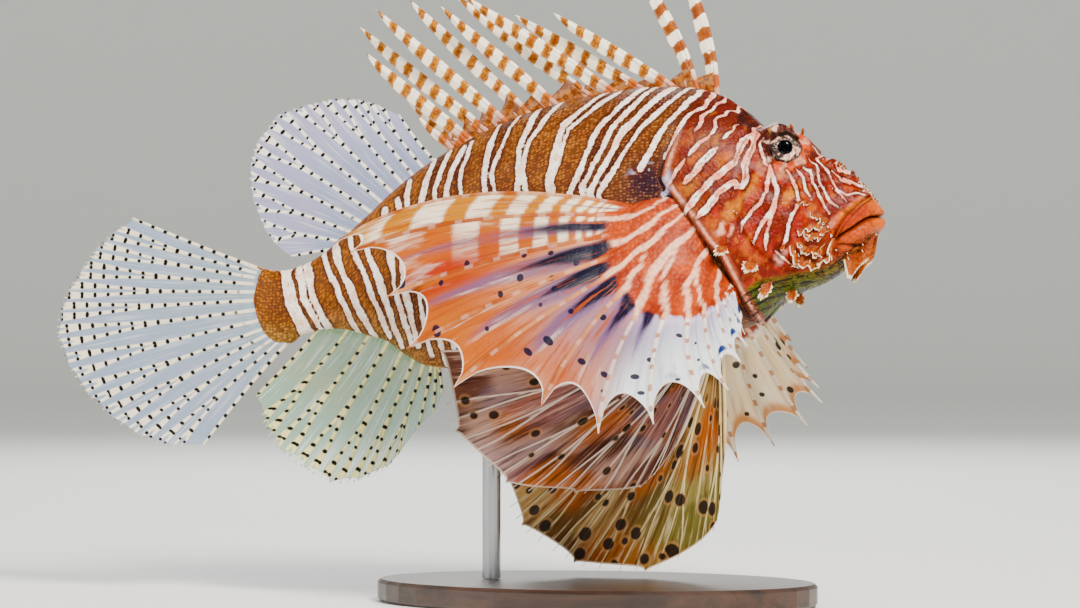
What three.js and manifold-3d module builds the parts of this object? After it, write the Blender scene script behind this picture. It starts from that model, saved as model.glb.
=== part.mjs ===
import * as THREE from "three";
import { mergeVertices } from "three/addons/utils/BufferGeometryUtils.js";
import Module from "manifold-3d";

// A red lionfish, 300 mm from lips to tail tip, hovering on a plain display stand.
// Millimetres. The fish is drawn in its own frame: +X to the snout, +Y to its left, +Z up, with the
// origin inside the trunk. The whole is then banked a little and stood on the base's underside.

const wasm = await Module();
wasm.setup();

// Driving sizes
const GAP = 0.35; // clearance between touching pieces
const BANK_DEG = 5; // the fish leans back from its right side
const SECTION_POWER = 2.2; // body sections are slightly squared ovals
const MEMBRANE_HALF = 0.3; // half the thickness of a fin's skin

// Body outline: [x, value] pairs from the tail root to the lips
const BACK = [
  [-106.8, 3], [-106.3, 9], [-105, 12.2], [-101.5, 11.2], [-95, 10.6], [-87.5, 12.5], [-74.7, 20.3],
  [-64.5, 29.2], [-50.4, 41.9], [-37.7, 50.7], [-23, 58.4], [-8.8, 64.5], [5.6, 68.9], [20, 71.9],
  [38, 74.1], [52, 73.9], [63, 71.3], [72, 65.9], [79, 60.4], [88, 55], [99, 50.2], [108, 44.2],
  [114.5, 38.4], [118.6, 33], [120, 28.6],
];
const BELLY = [
  [-106.8, 2.4], [-106.2, -3], [-104.2, -8], [-100.2, -13.2], [-95.5, -15.5], [-91, -15.4],
  [-86.8, -12.2], [-73.8, -10.4], [-63.3, -12.4], [-55.5, -14.6], [-48.8, -19.1], [-40.2, -23.2],
  [-21, -24.8], [-6.6, -25.2], [7.8, -24.5], [22, -22.6], [40, -19.4], [54, -16.3], [65, -12.8],
  [76, -8.6], [86, -0.6], [92.2, 2.4], [100.8, 5.6], [107, 9.8], [112.6, 15], [117, 20], [120, 26.6],
];
const HALF_WIDTH = [
  [-106.8, 0.7], [-100, 3], [-88, 5], [-65, 8], [-36, 14], [0, 20.5], [30, 23.8], [52, 24.6],
  [70, 22.6], [83, 19.2], [96, 15], [108, 11.6], [115.5, 8.2], [120, 1.6],
];
const WAIST = [[-106.8, 0.5], [0, 0.5], [60, 0.48], [86, 0.42], [108, 0.46], [120, 0.5]];
const TAIL_END = BACK[0][0];
const LIP_END = BACK[BACK.length - 1][0];

// The cuts that part the body: the gill cover's edge, the tail root, and the mouth and jaw
const GILL_EDGE = [[66, 90], [54, 60], [47.5, 38], [54, 32.5], [58.4, 25], [69, 12], [74, 3.5], [80, -20]];
const TAIL_CUT_X = -62;
const MOUTH_LINE = [[124, 28.4], [117, 27.6], [112.5, 25.8], [108, 23], [104, 19.6]];
const JAW_EDGE = [[102, 13], [98.5, 5.5], [95, -8]];

// Eyes
const EYE = { x: 88, y: 9.8, z: 50.2, radius: 7, rim: 1.4 };

const smoothstep = (x) => {
  const c = Math.min(1, Math.max(0, x));
  return c * c * (3 - 2 * c);
};
const mix = (a, b, f) => a + (b - a) * f;
const radians = (degrees) => (degrees * Math.PI) / 180;

// The value at x of a smooth curve through [x, value] pairs that never overshoots them.
function through(keys, x) {
  const last = keys.length - 1;
  if (x <= keys[0][0]) return keys[0][1];
  if (x >= keys[last][0]) return keys[last][1];
  const i = keys.findIndex((k) => k[0] > x) - 1;
  const slope = (k) => (keys[k + 1][1] - keys[k][1]) / (keys[k + 1][0] - keys[k][0]);
  const tangent = (k) => {
    if (k === 0) return slope(0);
    if (k === last) return slope(last - 1);
    const [before, after] = [slope(k - 1), slope(k)];
    return before * after <= 0 ? 0 : (2 * before * after) / (before + after);
  };
  const width = keys[i + 1][0] - keys[i][0];
  const f = (x - keys[i][0]) / width;
  const rise = keys[i + 1][1] - keys[i][1];
  const [m0, m1] = [tangent(i) * width, tangent(i + 1) * width];
  return keys[i][1] + m0 * f + (3 * rise - 2 * m0 - m1) * f * f + (m0 + m1 - 2 * rise) * f ** 3;
}

// The body's section at x: its widest level, its reach up, down and sideways.
function section(x, swell = 0) {
  const [top, bottom] = [through(BACK, x), through(BELLY, x)];
  const waist = mix(bottom, top, through(WAIST, x));
  return { waist, up: top - waist + swell, down: waist - bottom + swell, half: through(HALF_WIDTH, x) + swell };
}

// How far the body's side stands from the middle plane at a point of its side view.
function sideOf(x, z) {
  const { waist, up, down, half } = section(x);
  const reach = Math.abs(z - waist) / (z > waist ? up : down);
  return reach >= 1 ? 0 : half * (1 - reach ** SECTION_POWER) ** (1 / SECTION_POWER);
}

// Solids from positions and triangles, and back
function solid(positions, triangles) {
  return new wasm.Manifold(
    new wasm.Mesh({
      numProp: 3,
      vertProperties: new Float32Array(positions.flat()),
      triVerts: new Uint32Array(triangles.flat()),
    }),
  );
}

function solidOf(geometry) {
  const bare = geometry.clone();
  bare.deleteAttribute("normal");
  bare.deleteAttribute("uv");
  const merged = mergeVertices(bare, 1e-4);
  const { array, count } = merged.attributes.position;
  const positions = Array.from({ length: count }, (_, i) => [...array.slice(3 * i, 3 * i + 3)]);
  const index = merged.index.array;
  const triangles = Array.from({ length: index.length / 3 }, (_, i) => [...index.slice(3 * i, 3 * i + 3)]);
  return solid(positions, triangles);
}

function geometryOf(manifold) {
  const mesh = manifold.getMesh();
  const geometry = new THREE.BufferGeometry();
  const positions = new Float32Array(mesh.numVert * 3);
  for (let i = 0; i < mesh.numVert; i++) {
    positions.set(mesh.vertProperties.subarray(i * mesh.numProp, i * mesh.numProp + 3), i * 3);
  }
  geometry.setAttribute("position", new THREE.BufferAttribute(positions, 3));
  geometry.setIndex(new THREE.BufferAttribute(mesh.triVerts, 1));
  geometry.computeVertexNormals();
  return geometry;
}

const union = (solids) => solids.reduce((all, one) => all.add(one));
// A cut leaves slivers: edges shorter than this are closed up, end to end.
const SLIVER = 0.06;

function withoutSlivers(manifold) {
  const { vertProperties, triVerts, numVert } = manifold.getMesh();
  const points = Array.from({ length: numVert }, (_, i) => [...vertProperties.slice(3 * i, 3 * i + 3)]);
  const corners = points.map(() => new Set());
  const triangles = Array.from({ length: triVerts.length / 3 }, (_, i) => [...triVerts.slice(3 * i, 3 * i + 3)]);
  triangles.forEach((triangle, i) => triangle.forEach((v) => corners[v].add(i)));
  const around = (v) => new Set([...corners[v]].flatMap((i) => triangles[i]).filter((w) => w !== v));
  const apart = (a, b) => Math.hypot(...points[a].map((v, i) => v - points[b][i]));
  const turns = (v, moved) =>
    [...corners[v]].some((i) => {
      if (triangles[i].includes(moved)) return false;
      const facing = (swap) => {
        const [a, b, c] = triangles[i].map((w) => new THREE.Vector3(...points[w === v && swap ? moved : w]));
        return b.sub(a).cross(c.sub(a));
      };
      const [before, after] = [facing(false), facing(true)];
      return after.length() < 1e-4 || before.dot(after) < 0.2 * before.length() * after.length();
    });
  for (let pass = 0; pass < 4; pass++) {
    for (let keep = 0; keep < points.length; keep++) {
      for (const gone of around(keep)) {
        if (apart(keep, gone) > SLIVER || !corners[gone].size || !corners[keep].size) continue;
        const shared = [...around(keep)].filter((w) => around(gone).has(w));
        if (shared.length !== 2 || turns(gone, keep)) continue;
        for (const i of corners[gone]) {
          if (triangles[i].includes(keep)) {
            triangles[i].forEach((w) => w !== gone && corners[w].delete(i));
            triangles[i] = null;
          } else {
            triangles[i] = triangles[i].map((w) => (w === gone ? keep : w));
            corners[keep].add(i);
          }
        }
        corners[gone].clear();
      }
    }
  }
  return solid(points, triangles.filter(Boolean));
}

const largest = (manifold) =>
  withoutSlivers(manifold.decompose().reduce((best, one) => (one.volume() > best.volume() ? one : best)));

// A closed skin over rings of equal count, each end closed by a fan.
function loft(rings) {
  const count = rings[0].length;
  const positions = rings.flat();
  const triangles = [];
  for (let r = 0; r + 1 < rings.length; r++) {
    for (let k = 0; k < count; k++) {
      const [a, b] = [r * count + k, r * count + ((k + 1) % count)];
      triangles.push([a, a + count, b], [b, a + count, b + count]);
    }
  }
  const centre = (ring) => [0, 1, 2].map((i) => ring.reduce((sum, p) => sum + p[i], 0) / count);
  const lastRing = (rings.length - 1) * count;
  positions.push(centre(rings[0]), centre(rings[rings.length - 1]));
  for (let k = 0; k < count; k++) {
    const next = (k + 1) % count;
    triangles.push([positions.length - 2, k, next]);
    triangles.push([positions.length - 1, lastRing + next, lastRing + k]);
  }
  const made = solid(positions, triangles);
  return made.volume() < 0 ? solid(positions, triangles.map(([a, b, c]) => [a, c, b])) : made;
}

// A tapering limb along points, with a radius at each and sides that may be flattened.
function limb(points, radii, sides = 7, flatness = 1) {
  const path = points.map((p) => new THREE.Vector3(...p));
  const rings = path.map((p, i) => {
    const along = path[Math.min(i + 1, path.length - 1)].clone().sub(path[Math.max(i - 1, 0)]).normalize();
    const side = new THREE.Vector3(0, 0, 1).cross(along);
    if (side.length() < 0.1) side.set(0, 1, 0);
    side.normalize();
    const other = along.clone().cross(side);
    return Array.from({ length: sides }, (_, k) => {
      const angle = (2 * Math.PI * k) / sides;
      const offset = side.clone().multiplyScalar(Math.cos(angle) * radii[i] * flatness);
      return p.clone().add(offset).addScaledVector(other, Math.sin(angle) * radii[i]).toArray();
    });
  });
  return loft(rings);
}

// A prism through the body from side to side, over an outline in its side view.
function prism(outline) {
  const shape = new THREE.Shape(outline.map(([x, z]) => new THREE.Vector2(x, z)));
  const reach = 60;
  const geometry = new THREE.ExtrudeGeometry(shape, { depth: 2 * reach, bevelEnabled: false });
  geometry.rotateX(Math.PI / 2).translate(0, reach, 0);
  return solidOf(geometry);
}
const shifted = (outline, dx, dz) => outline.map(([x, z]) => [x + dx, z + dz]);

// Body
const BODY_STATIONS = 40;
const BODY_SIDES = 24;

function bodySolid(swell) {
  const stretch = 1 + swell / LIP_END;
  const rings = [];
  for (let i = 0; i <= BODY_STATIONS; i++) {
    // Stations crowd towards the lips and the tail root.
    const f = i / BODY_STATIONS;
    const eased = f - 0.11 * Math.sin(2 * Math.PI * f) * (f > 0.5 ? 1.25 : 1);
    const x = mix(TAIL_END, LIP_END, eased);
    const { waist, up, down, half } = section(x, swell);
    rings.push(
      Array.from({ length: BODY_SIDES }, (_, k) => {
        const angle = (2 * Math.PI * (k + 0.5)) / BODY_SIDES;
        const [c, s] = [Math.cos(angle), Math.sin(angle)];
        const shape = (v) => Math.sign(v) * Math.abs(v) ** (2 / SECTION_POWER);
        return [x * stretch, half * shape(c), waist + (s > 0 ? up : down) * shape(s)];
      }),
    );
  }
  return loft(rings);
}

const wholeBody = bodySolid(0);
const bodyClearance = bodySolid(GAP);
const frontOutline = [...GILL_EDGE, [140, -20], [140, 90]];
const front = wholeBody.intersect(prism(frontOutline));
const rear = wholeBody.subtract(prism(shifted(frontOutline, -GAP * 1.3, 0)));
const tailOutline = [[-130, -60], [TAIL_CUT_X, -60], [TAIL_CUT_X, 90], [-130, 90]];
const tail = rear.intersect(prism(tailOutline));
const torso = rear.subtract(prism(shifted(tailOutline, GAP, 0)));

// Lips: swellings along the mouth line, from one corner round the front to the other
function lip(drop, radius) {
  const steps = 6;
  const half = Array.from({ length: steps }, (_, i) => {
    const f = i / (steps - 1);
    const x = mix(MOUTH_LINE[4][0] + 1, LIP_END - 2.2, Math.sin((f * Math.PI) / 2));
    const z = through([...MOUTH_LINE].reverse(), x) + drop;
    return [x, Math.max(0, sideOf(x, z) - 0.3), z, mix(0.65, 1, f) * radius];
  });
  const right = half.map(([x, y, z, r]) => [x, -y, z, r]);
  const left = half.slice(0, -1).reverse();
  const points = [...right, [LIP_END - 1.6, 0, half[steps - 1][2], radius], ...left];
  return limb(points.map((p) => p.slice(0, 3)), points.map((p) => p[3]), 6);
}

const jawOutline = [...MOUTH_LINE, ...JAW_EDGE, [132, -8], [132, 28.6]];
const jawCut = prism(jawOutline);
const jawClearance = prism(shifted(jawOutline, -GAP, GAP));

// Skin flaps and feelers on the head, given by their roots in the side view: [x, z, length, width, turn
// from the snout in degrees, how far out they stand]
const HEAD_FLAPS = [
  [71, 17, 3.6, 1.2, 250, 60], [80, 11.5, 4.4, 1.3, 250, 55], [84.5, 5, 7.5, 1.5, 252, 35],
  [99, 21, 5, 1.5, 235, 50], [101.5, 17, 6, 1.7, 258, 45], [97, 17.5, 5, 1.4, 225, 50],
  [104, 13.5, 5, 1.4, 285, 40], [91, 3, 5, 1.2, 262, 20], [106, 45.5, 4, 1.1, 75, 25],
  [93, 30, 3, 1, 300, 60],
];
const JAW_FLAPS = [[114, 16.8, 9.5, 2.4, 262, 8], [108, 10.6, 5, 1.3, 262, 18]];
const BROW_FLAPS = [[84, 56.6, 3.2, 1, 110, 20], [88.5, 57.6, 3.8, 1, 90, 15], [92, 56, 3, 0.9, 70, 20]];

function flap([x, z, length, width, turn, out], side) {
  const direction = aim(turn, out, side);
  const root = [x, side * sideOf(x, z), z];
  const at = (d) => root.map((v, i) => v + direction[i] * d);
  return limb([at(-2), at(length * 0.55), at(length)], [width, width * 0.85, width * 0.3], 4, 0.6);
}

// A unit vector turned from +X in the side view and leaning out to one side, in degrees.
function aim(turn, out, side) {
  const [a, b] = [radians(turn), radians(out)];
  return [Math.cos(b) * Math.cos(a), side * Math.sin(b), Math.cos(b) * Math.sin(a)];
}

const SIDES = { right: -1, left: 1 };
const bothSides = (list) => Object.values(SIDES).flatMap((side) => list.map((one) => flap(one, side)));

// Eyes and the rims that carry them
function ball(radius, segments) {
  return solidOf(new THREE.SphereGeometry(radius, segments, Math.round(segments * 0.7)));
}
const eyes = Object.entries(SIDES).map(([name, side]) => ({
  name,
  ball: ball(EYE.radius, 14).translate([EYE.x, side * EYE.y, EYE.z]),
  room: ball(EYE.radius + GAP, 14).translate([EYE.x, side * EYE.y, EYE.z]),
  rim: solidOf(new THREE.TorusGeometry(EYE.radius - 0.3, EYE.rim, 5, 14))
    .rotate([90, 0, 0])
    .rotate([side * -24, 0, 0])
    .translate([EYE.x, side * (EYE.y + 1.9), EYE.z + 0.8]),
  brow: ball(EYE.radius, 10).scale([1.1, 0.72, 0.86]).translate([EYE.x - 0.6, side * (EYE.y - 2.4), EYE.z + 1.4]),
}));

const nostrils = Object.values(SIDES).map((side) =>
  limb(
    [[107.3, side * 5.4, 41], [107.8, side * 6.2, 44.4], [108, side * 6.5, 45.8]],
    [1.7, 1.3, 0.9],
    6,
  ),
);

const upperHead = union([
  front,
  ...eyes.map((eye) => eye.rim),
  ...eyes.map((eye) => eye.brow),
  ...nostrils,
  ...bothSides(HEAD_FLAPS),
  ...bothSides(BROW_FLAPS),
]);
const head = largest(
  upperHead.subtract(jawClearance).add(lip(2.5, 2.5).subtract(jawClearance)).subtract(union(eyes.map((eye) => eye.room))),
);
const lowerJaw = largest(union([front, lip(-2.9, 2.7), ...bothSides(JAW_FLAPS)]).intersect(jawCut));

// Fins: a fin is a fan of rays. Each list holds [place across the fin, value] pairs, from its first ray
// at 0 to its last at 1: where the rays root, how they turn in the side view, how they lean out, how
// long they are, and how much they bend and curl by their tips.
const ARC_STEPS = 24;

// A fin's point at place t and share s of the ray's length. Below 0 it runs back to the fin's foot, which
// a paired fin has on the body's side and another straight behind its root.
function finPoint(fin, t, s) {
  const root = [through(fin.rootX, t), through(fin.rootY, t), through(fin.rootZ, t)];
  const [turn, bend] = [through(fin.turn, t), through(fin.bend, t)];
  const [lean, curl] = [through(fin.lean, t), through(fin.curl, t)];
  if (s < 0) {
    const direction = aim(turn, lean, fin.side);
    const foot = fin.footX
      ? [through(fin.footX, t), through(fin.footY, t), through(fin.footZ, t)]
      : root.map((v, i) => v - direction[i] * fin.sink);
    return root.map((v, i) => mix(v, foot[i], -s));
  }
  const point = [...root];
  for (let k = 0; k < ARC_STEPS; k++) {
    const f = ((s * (k + 0.5)) / ARC_STEPS) ** fin.bendPower;
    const direction = aim(turn + bend * f, lean + curl * f, fin.side);
    direction.forEach((d, i) => (point[i] += (d * s * through(fin.length, t)) / ARC_STEPS));
  }
  return point;
}

function finNormal(fin, t, s) {
  const step = 0.004;
  const difference = (a, b) => new THREE.Vector3(...a).sub(new THREE.Vector3(...b));
  const [t0, t1] = [Math.max(0, t - step), Math.min(1, t + step)];
  const across = difference(finPoint(fin, t1, s), finPoint(fin, t0, s));
  const along = difference(finPoint(fin, t, s + step), finPoint(fin, t, s - step));
  return across.cross(along).normalize();
}

// The columns of a fin's mesh: each ray's crest and the skin between. A ray that branches has two
// crests, which part from its middle line as they run out.
function finColumns(fin) {
  const pitch = 1 / (fin.rays - 1);
  const columns = [];
  for (let i = 0; i < fin.rays; i++) {
    const middle = i * pitch;
    if (fin.branchAt && i >= fin.plainRays && i < fin.rays - 1) {
      const spread = (s) => pitch * mix(0.07, 0.25, smoothstep((s - fin.branchAt) / (1 - fin.branchAt)));
      const parted = (s) => 1 - smoothstep((s - fin.branchAt) / 0.15);
      columns.push({ t: (s) => middle - spread(s), ridge: () => 1, reach: 1 });
      columns.push({ t: () => middle, ridge: parted, reach: 1 - through(fin.notch, middle) / 2 });
      columns.push({ t: (s) => middle + spread(s), ridge: () => 1, reach: 1 });
    } else {
      columns.push({ t: () => middle, ridge: () => 1, reach: 1 });
    }
    if (i === fin.rays - 1) break;
    for (const [share, depth] of fin.web) {
      const notch = through(fin.notch, middle + share * pitch) * depth;
      columns.push({ t: () => middle + share * pitch, ridge: () => 0, reach: 1 - notch });
    }
  }
  return columns;
}

// The fin as one closed sheet with its rays raised on both faces, split alike on each.
function finSheet(fin) {
  const columns = finColumns(fin);
  const [front, back] = [[], []];
  for (const column of columns) {
    for (const row of fin.rows) {
      const out = Math.max(0, row);
      const t = column.t(out);
      const s = row < 0 ? row : row * column.reach;
      const ray = mix(fin.rayHalf, MEMBRANE_HALF + 0.1, out) * column.ridge(out);
      const half = Math.max(MEMBRANE_HALF, row < 0 ? 0 : ray, through(fin.flesh, row));
      const point = finPoint(fin, t, s);
      const normal = finNormal(fin, t, s);
      front.push(point.map((v, i) => v + half * normal.getComponent(i)));
      back.push(point.map((v, i) => v - half * normal.getComponent(i)));
    }
  }
  const [width, height] = [columns.length, fin.rows.length];
  const other = front.length;
  const at = (c, r) => c * height + r;
  const triangles = [];
  const face = (i, j, k) => triangles.push([i, j, k], [other + i, other + k, other + j]);
  for (let c = 0; c + 1 < width; c++) {
    for (let r = 0; r + 1 < height; r++) {
      face(at(c, r), at(c + 1, r), at(c, r + 1));
      face(at(c + 1, r), at(c + 1, r + 1), at(c, r + 1));
    }
  }
  const rim = [];
  for (let c = 0; c < width; c++) rim.push(at(c, 0));
  for (let r = 1; r < height; r++) rim.push(at(width - 1, r));
  for (let c = width - 2; c >= 0; c--) rim.push(at(c, height - 1));
  for (let r = height - 2; r > 0; r--) rim.push(at(0, r));
  rim.forEach((a, i) => {
    const b = rim[(i + 1) % rim.length];
    triangles.push([a, other + a, b], [b, other + a, other + b]);
  });
  const positions = [...front, ...back];
  const made = solid(positions, triangles);
  return made.volume() < 0 ? solid(positions, triangles.map(([a, b, c]) => [a, c, b])) : made;
}

const flat = (value) => [[0, value], [1, value]];
const onProfile = (profile, from, to, depth) =>
  Array.from({ length: 9 }, (_, i) => [i / 8, through(profile, mix(from, to, i / 8)) + depth]);

const MEDIAN = {
  side: -1,
  rootY: flat(0),
  sink: 2.4,
  bendPower: 1,
  flesh: [[-1, 1.7], [0, 1.1], [0.14, 0]],
  rayHalf: 0.75,
  notch: flat(0.02),
  web: [[0.5, 1]],
};

const CAUDAL = {
  ...MEDIAN,
  rays: 13,
  plainRays: 1,
  branchAt: 0.35,
  rootX: [[0, -104.6], [0.2, -106.2], [0.45, -106], [0.7, -101.6], [1, -92.4]],
  rootZ: [[0, 11.4], [0.17, 8], [0.42, -0.4], [0.67, -10.8], [0.83, -14], [1, -15]],
  turn: [[0, 161], [0.25, 176], [0.5, 186.5], [0.75, 205], [1, 227]],
  bend: [[0, -4], [0.5, 2], [1, 6]],
  lean: flat(2),
  curl: [[0, 6], [1, -6]],
  length: [[0, 50], [0.17, 60], [0.42, 72.6], [0.5, 74], [0.58, 72.4], [0.75, 65], [0.9, 57], [1, 48]],
  rows: [-1, 0, 0.2, 0.36, 0.5, 0.66, 0.83, 1],
};

const DORSAL_SOFT_BASE = [-39.5, -77];
const DORSAL_SOFT = {
  ...MEDIAN,
  rays: 11,
  plainRays: 1,
  branchAt: 0.45,
  rootX: [[0, DORSAL_SOFT_BASE[0]], [1, DORSAL_SOFT_BASE[1]]],
  rootZ: onProfile(BACK, ...DORSAL_SOFT_BASE, -0.6),
  turn: [[0, 135], [0.2, 133], [0.4, 138], [0.6, 147], [0.8, 160], [0.9, 170], [1, 187]],
  bend: [[0, -12], [0.3, -6], [0.6, 4], [1, 4]],
  lean: flat(3),
  curl: flat(-7),
  length: [[0, 22], [0.1, 30], [0.2, 36], [0.4, 47], [0.5, 52], [0.6, 51.5], [0.7, 47.5], [0.9, 29], [1, 15]],
  rows: [-1, 0, 0.25, 0.45, 0.6, 0.8, 1],
};

const ANAL_BASE = [-36, -81];
const ANAL = {
  ...MEDIAN,
  rays: 10,
  plainRays: 3,
  branchAt: 0.4,
  rootX: [[0, ANAL_BASE[0]], [0.22, -38.8], [0.44, -45], [0.67, -55], [0.89, -70], [1, ANAL_BASE[1]]],
  rootZ: [[0, -24], [0.22, -23], [0.44, -20.6], [0.67, -14.6], [0.89, -10.6], [1, -10.6]],
  turn: [[0, 280], [0.11, 270], [0.33, 253], [0.56, 243], [0.78, 234], [1, 228]],
  bend: flat(-4),
  lean: flat(-3),
  curl: flat(7),
  length: [[0, 10], [0.11, 16.5], [0.22, 23], [0.33, 39], [0.44, 47.5], [0.6, 54.5], [0.78, 52.6], [0.89, 45.5], [1, 32.6]],
  notch: [[0, 0.12], [0.3, 0.04], [1, 0.02]],
  rows: [-1, 0, 0.25, 0.42, 0.6, 0.8, 1],
};

// Paired fins, as the right one lies; the left one differs in its pose. The pectoral's rays leave a
// fleshy lobe, whose foot runs down the body's side behind the gill cover.
const PECTORAL = {
  rays: 14,
  plainRays: 14,
  bendPower: 1.5,
  footX: [[0, 49], [0.3, 56], [0.6, 65], [1, 75]],
  footZ: [[0, 32], [0.3, 22.5], [0.6, 10], [1, -2]],
  rootX: [[0, 39.5], [0.077, 35.1], [0.15, 34.5], [0.3, 36.2], [0.46, 45], [0.54, 54], [0.62, 62], [0.77, 70.4], [1, 74.1]],
  rootY: [[0, 25], [0.3, 34], [0.54, 39], [0.69, 36], [0.85, 30], [1, 25]],
  rootZ: [[0, 29.6], [0.077, 26], [0.23, 12.5], [0.38, 1.6], [0.46, -6], [0.54, -8.8], [0.62, -9], [0.77, -4.6], [1, 0.5]],
  bend: [[0, 44], [0.08, 24], [0.2, 10], [0.5, 20], [0.6, 20], [1, 10]],
  lean: [[0, 12], [0.1, 14], [0.2, 20], [0.3, 27], [0.4, 38], [0.5, 49], [0.6, 56], [0.8, 56], [1, 46]],
  curl: [[0, -8], [0.3, -8], [0.5, -16], [0.7, -26], [1, -30]],
  notch: [[0, 0.04], [0.1, 0.12], [0.3, 0.18], [0.5, 0.26], [1, 0.22]],
  flesh: [[-1.4, 4.5], [-1, 4.5], [0, 1.5], [0.12, 0]],
  rayHalf: 0.9,
  web: [[0.25, 1], [0.62, 0.85]],
  rows: [-1.4, -1, -0.45, 0, 0.1, 0.26, 0.42, 0.58, 0.74, 0.88, 1],
};

const PELVIC = {
  rays: 6,
  plainRays: 1,
  bendPower: 1,
  branchAt: 0.2,
  rootX: [[0, 63.5], [1, 57]],
  rootY: [[0, 8], [0.6, 11], [1, 12.5]],
  rootZ: [[0, -15.8], [1, -10.5]],
  bend: flat(-8),
  notch: flat(0.02),
  flesh: [[-1, 2.2], [0, 1.7], [0.15, 0]],
  rayHalf: 0.8,
  sink: 3,
  web: [[0.36, 1], [0.64, 1]],
  rows: [-1, 0, 0.15, 0.32, 0.5, 0.68, 0.85, 1],
};

const POSES = {
  pectoral_fin_right: {
    ...PECTORAL,
    side: -1,
    turn: [
      [0, 170], [0.08, 179], [0.15, 191], [0.23, 203], [0.31, 216], [0.385, 237], [0.46, 256], [0.54, 271],
      [0.62, 286], [0.69, 290.5], [0.85, 300], [1, 292],
    ],
    length: [
      [0, 107], [0.08, 93.5], [0.15, 81], [0.23, 78], [0.31, 70], [0.385, 56], [0.46, 58], [0.54, 56],
      [0.62, 53], [0.77, 38], [1, 13],
    ],
  },
  pectoral_fin_left: {
    ...PECTORAL,
    side: 1,
    turn: [
      [0, 170], [0.08, 179], [0.15, 190], [0.31, 214], [0.46, 250], [0.54, 262], [0.62, 272], [0.69, 286],
      [0.77, 296], [1, 301],
    ],
    length: [
      [0, 107], [0.08, 94], [0.15, 84], [0.31, 74], [0.46, 64], [0.54, 62], [0.62, 56], [0.77, 46], [0.85, 40], [1, 18],
    ],
  },
  pelvic_fin_right: {
    ...PELVIC,
    side: -1,
    turn: [[0, 259], [0.2, 253.5], [0.4, 238], [0.6, 224.5], [0.8, 209], [1, 191]],
    lean: [[0, 10], [1, 15]],
    curl: [[0, 12], [1, 0]],
    length: [[0, 38.5], [0.2, 57], [0.4, 70], [0.6, 84], [0.8, 89], [1, 86]],
  },
  pelvic_fin_left: {
    ...PELVIC,
    side: 1,
    turn: [[0, 274], [0.2, 272], [0.4, 255], [0.6, 240], [0.8, 227], [1, 215.5]],
    lean: [[0, 6], [1, 10]],
    curl: [[0, 10], [1, 0]],
    length: [[0, 38], [0.2, 62.5], [0.4, 86], [0.6, 96], [0.8, 99], [1, 93]],
  },
};

// A paired fin's root and foot stand out from the middle plane to its own side.
function rootedOnSide(fin) {
  const outward = ([t, y]) => [t, fin.side * y];
  const rooted = { ...fin, rootY: fin.rootY.map(outward) };
  if (!fin.footX) return rooted;
  const steps = 8;
  const footY = Array.from({ length: steps + 1 }, (_, i) => {
    const t = i / steps;
    return outward([t, sideOf(through(fin.footX, t), through(fin.footZ, t)) - 0.5]);
  });
  return { ...rooted, footY };
}

const fins = Object.entries({
  caudal_fin: CAUDAL,
  dorsal_fin_soft: DORSAL_SOFT,
  anal_fin: ANAL,
  ...Object.fromEntries(Object.entries(POSES).map(([name, fin]) => [name, rootedOnSide(fin)])),
}).map(([name, fin]) => ({ name, solid: largest(finSheet(fin).subtract(bodyClearance)) }));

// The spiny dorsal fin: thirteen blades, each a hard spine with a banner of skin behind, joined by a low web
const SPINES = 13;
const SPINE_X = [
  [0, 61.8], [1, 54.7], [2, 46.8], [3, 35], [4, 25.4], [5, 17.1], [6, 4.5], [7, -5.5], [8, -13.6],
  [9, -20.6], [10, -26.6], [12, -33],
];
const SPINE_TURN = [[0, 92], [1, 105], [2, 143.6], [3, 145.4], [5, 140], [7, 134], [9, 138.5], [12, 135]];
const SPINE_BEND = [[0, 28], [1, 26], [2, 10], [12, 6]];
const SPINE_LENGTH = [
  [0, 48], [1, 50], [2, 51], [3, 55], [4, 64.5], [5, 64], [6, 55], [7, 62.8], [9, 62.9], [10, 49.4],
  [11, 28.5], [12, 17.8],
];
const SPINE_RADIUS = 1.05;
const BANNER = [[0, 3.4], [0.15, 3.4], [0.5, 4.4], [0.8, 3.3], [1, 0.3]];
const SPINE_RINGS = [-0.08, 0.1, 0.32, 0.56, 0.8, 1];

function dorsalSpine(i) {
  const x = through(SPINE_X, i);
  const [turn, bend, length] = [through(SPINE_TURN, i), through(SPINE_BEND, i), through(SPINE_LENGTH, i)];
  const lean = i === 0 || i === SPINES - 1 ? 0 : 4 * (i % 2 ? 1 : -1);
  const spine = {
    side: 1, bendPower: 1, sink: length, rootX: flat(x), rootY: flat(0), rootZ: flat(through(BACK, x)),
    turn: flat(turn), bend: flat(bend), lean: flat(lean), curl: flat(0), length: flat(length),
  };
  const rings = SPINE_RINGS.map((s) => {
    const out = Math.max(0, s);
    const point = finPoint(spine, 0, s);
    const ahead = aim(turn + bend * out - 90, 0, 1);
    const r = SPINE_RADIUS * mix(1, 0.3, out);
    const banner = through(BANNER, out) * Math.min(1, length / 45);
    const skin = Math.min(r * 0.6, MEMBRANE_HALF);
    const [front, seam, edge] = [r, -r - 0.3, -r - banner];
    const outline = [[front, 0], [0, r], [seam, skin], [edge, skin], [edge, -skin], [seam, -skin], [0, -r]];
    return outline.map(([f, y]) => [point[0] + ahead[0] * f, point[1] + y, point[2] + ahead[2] * f]);
  });
  return loft(rings);
}

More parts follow.
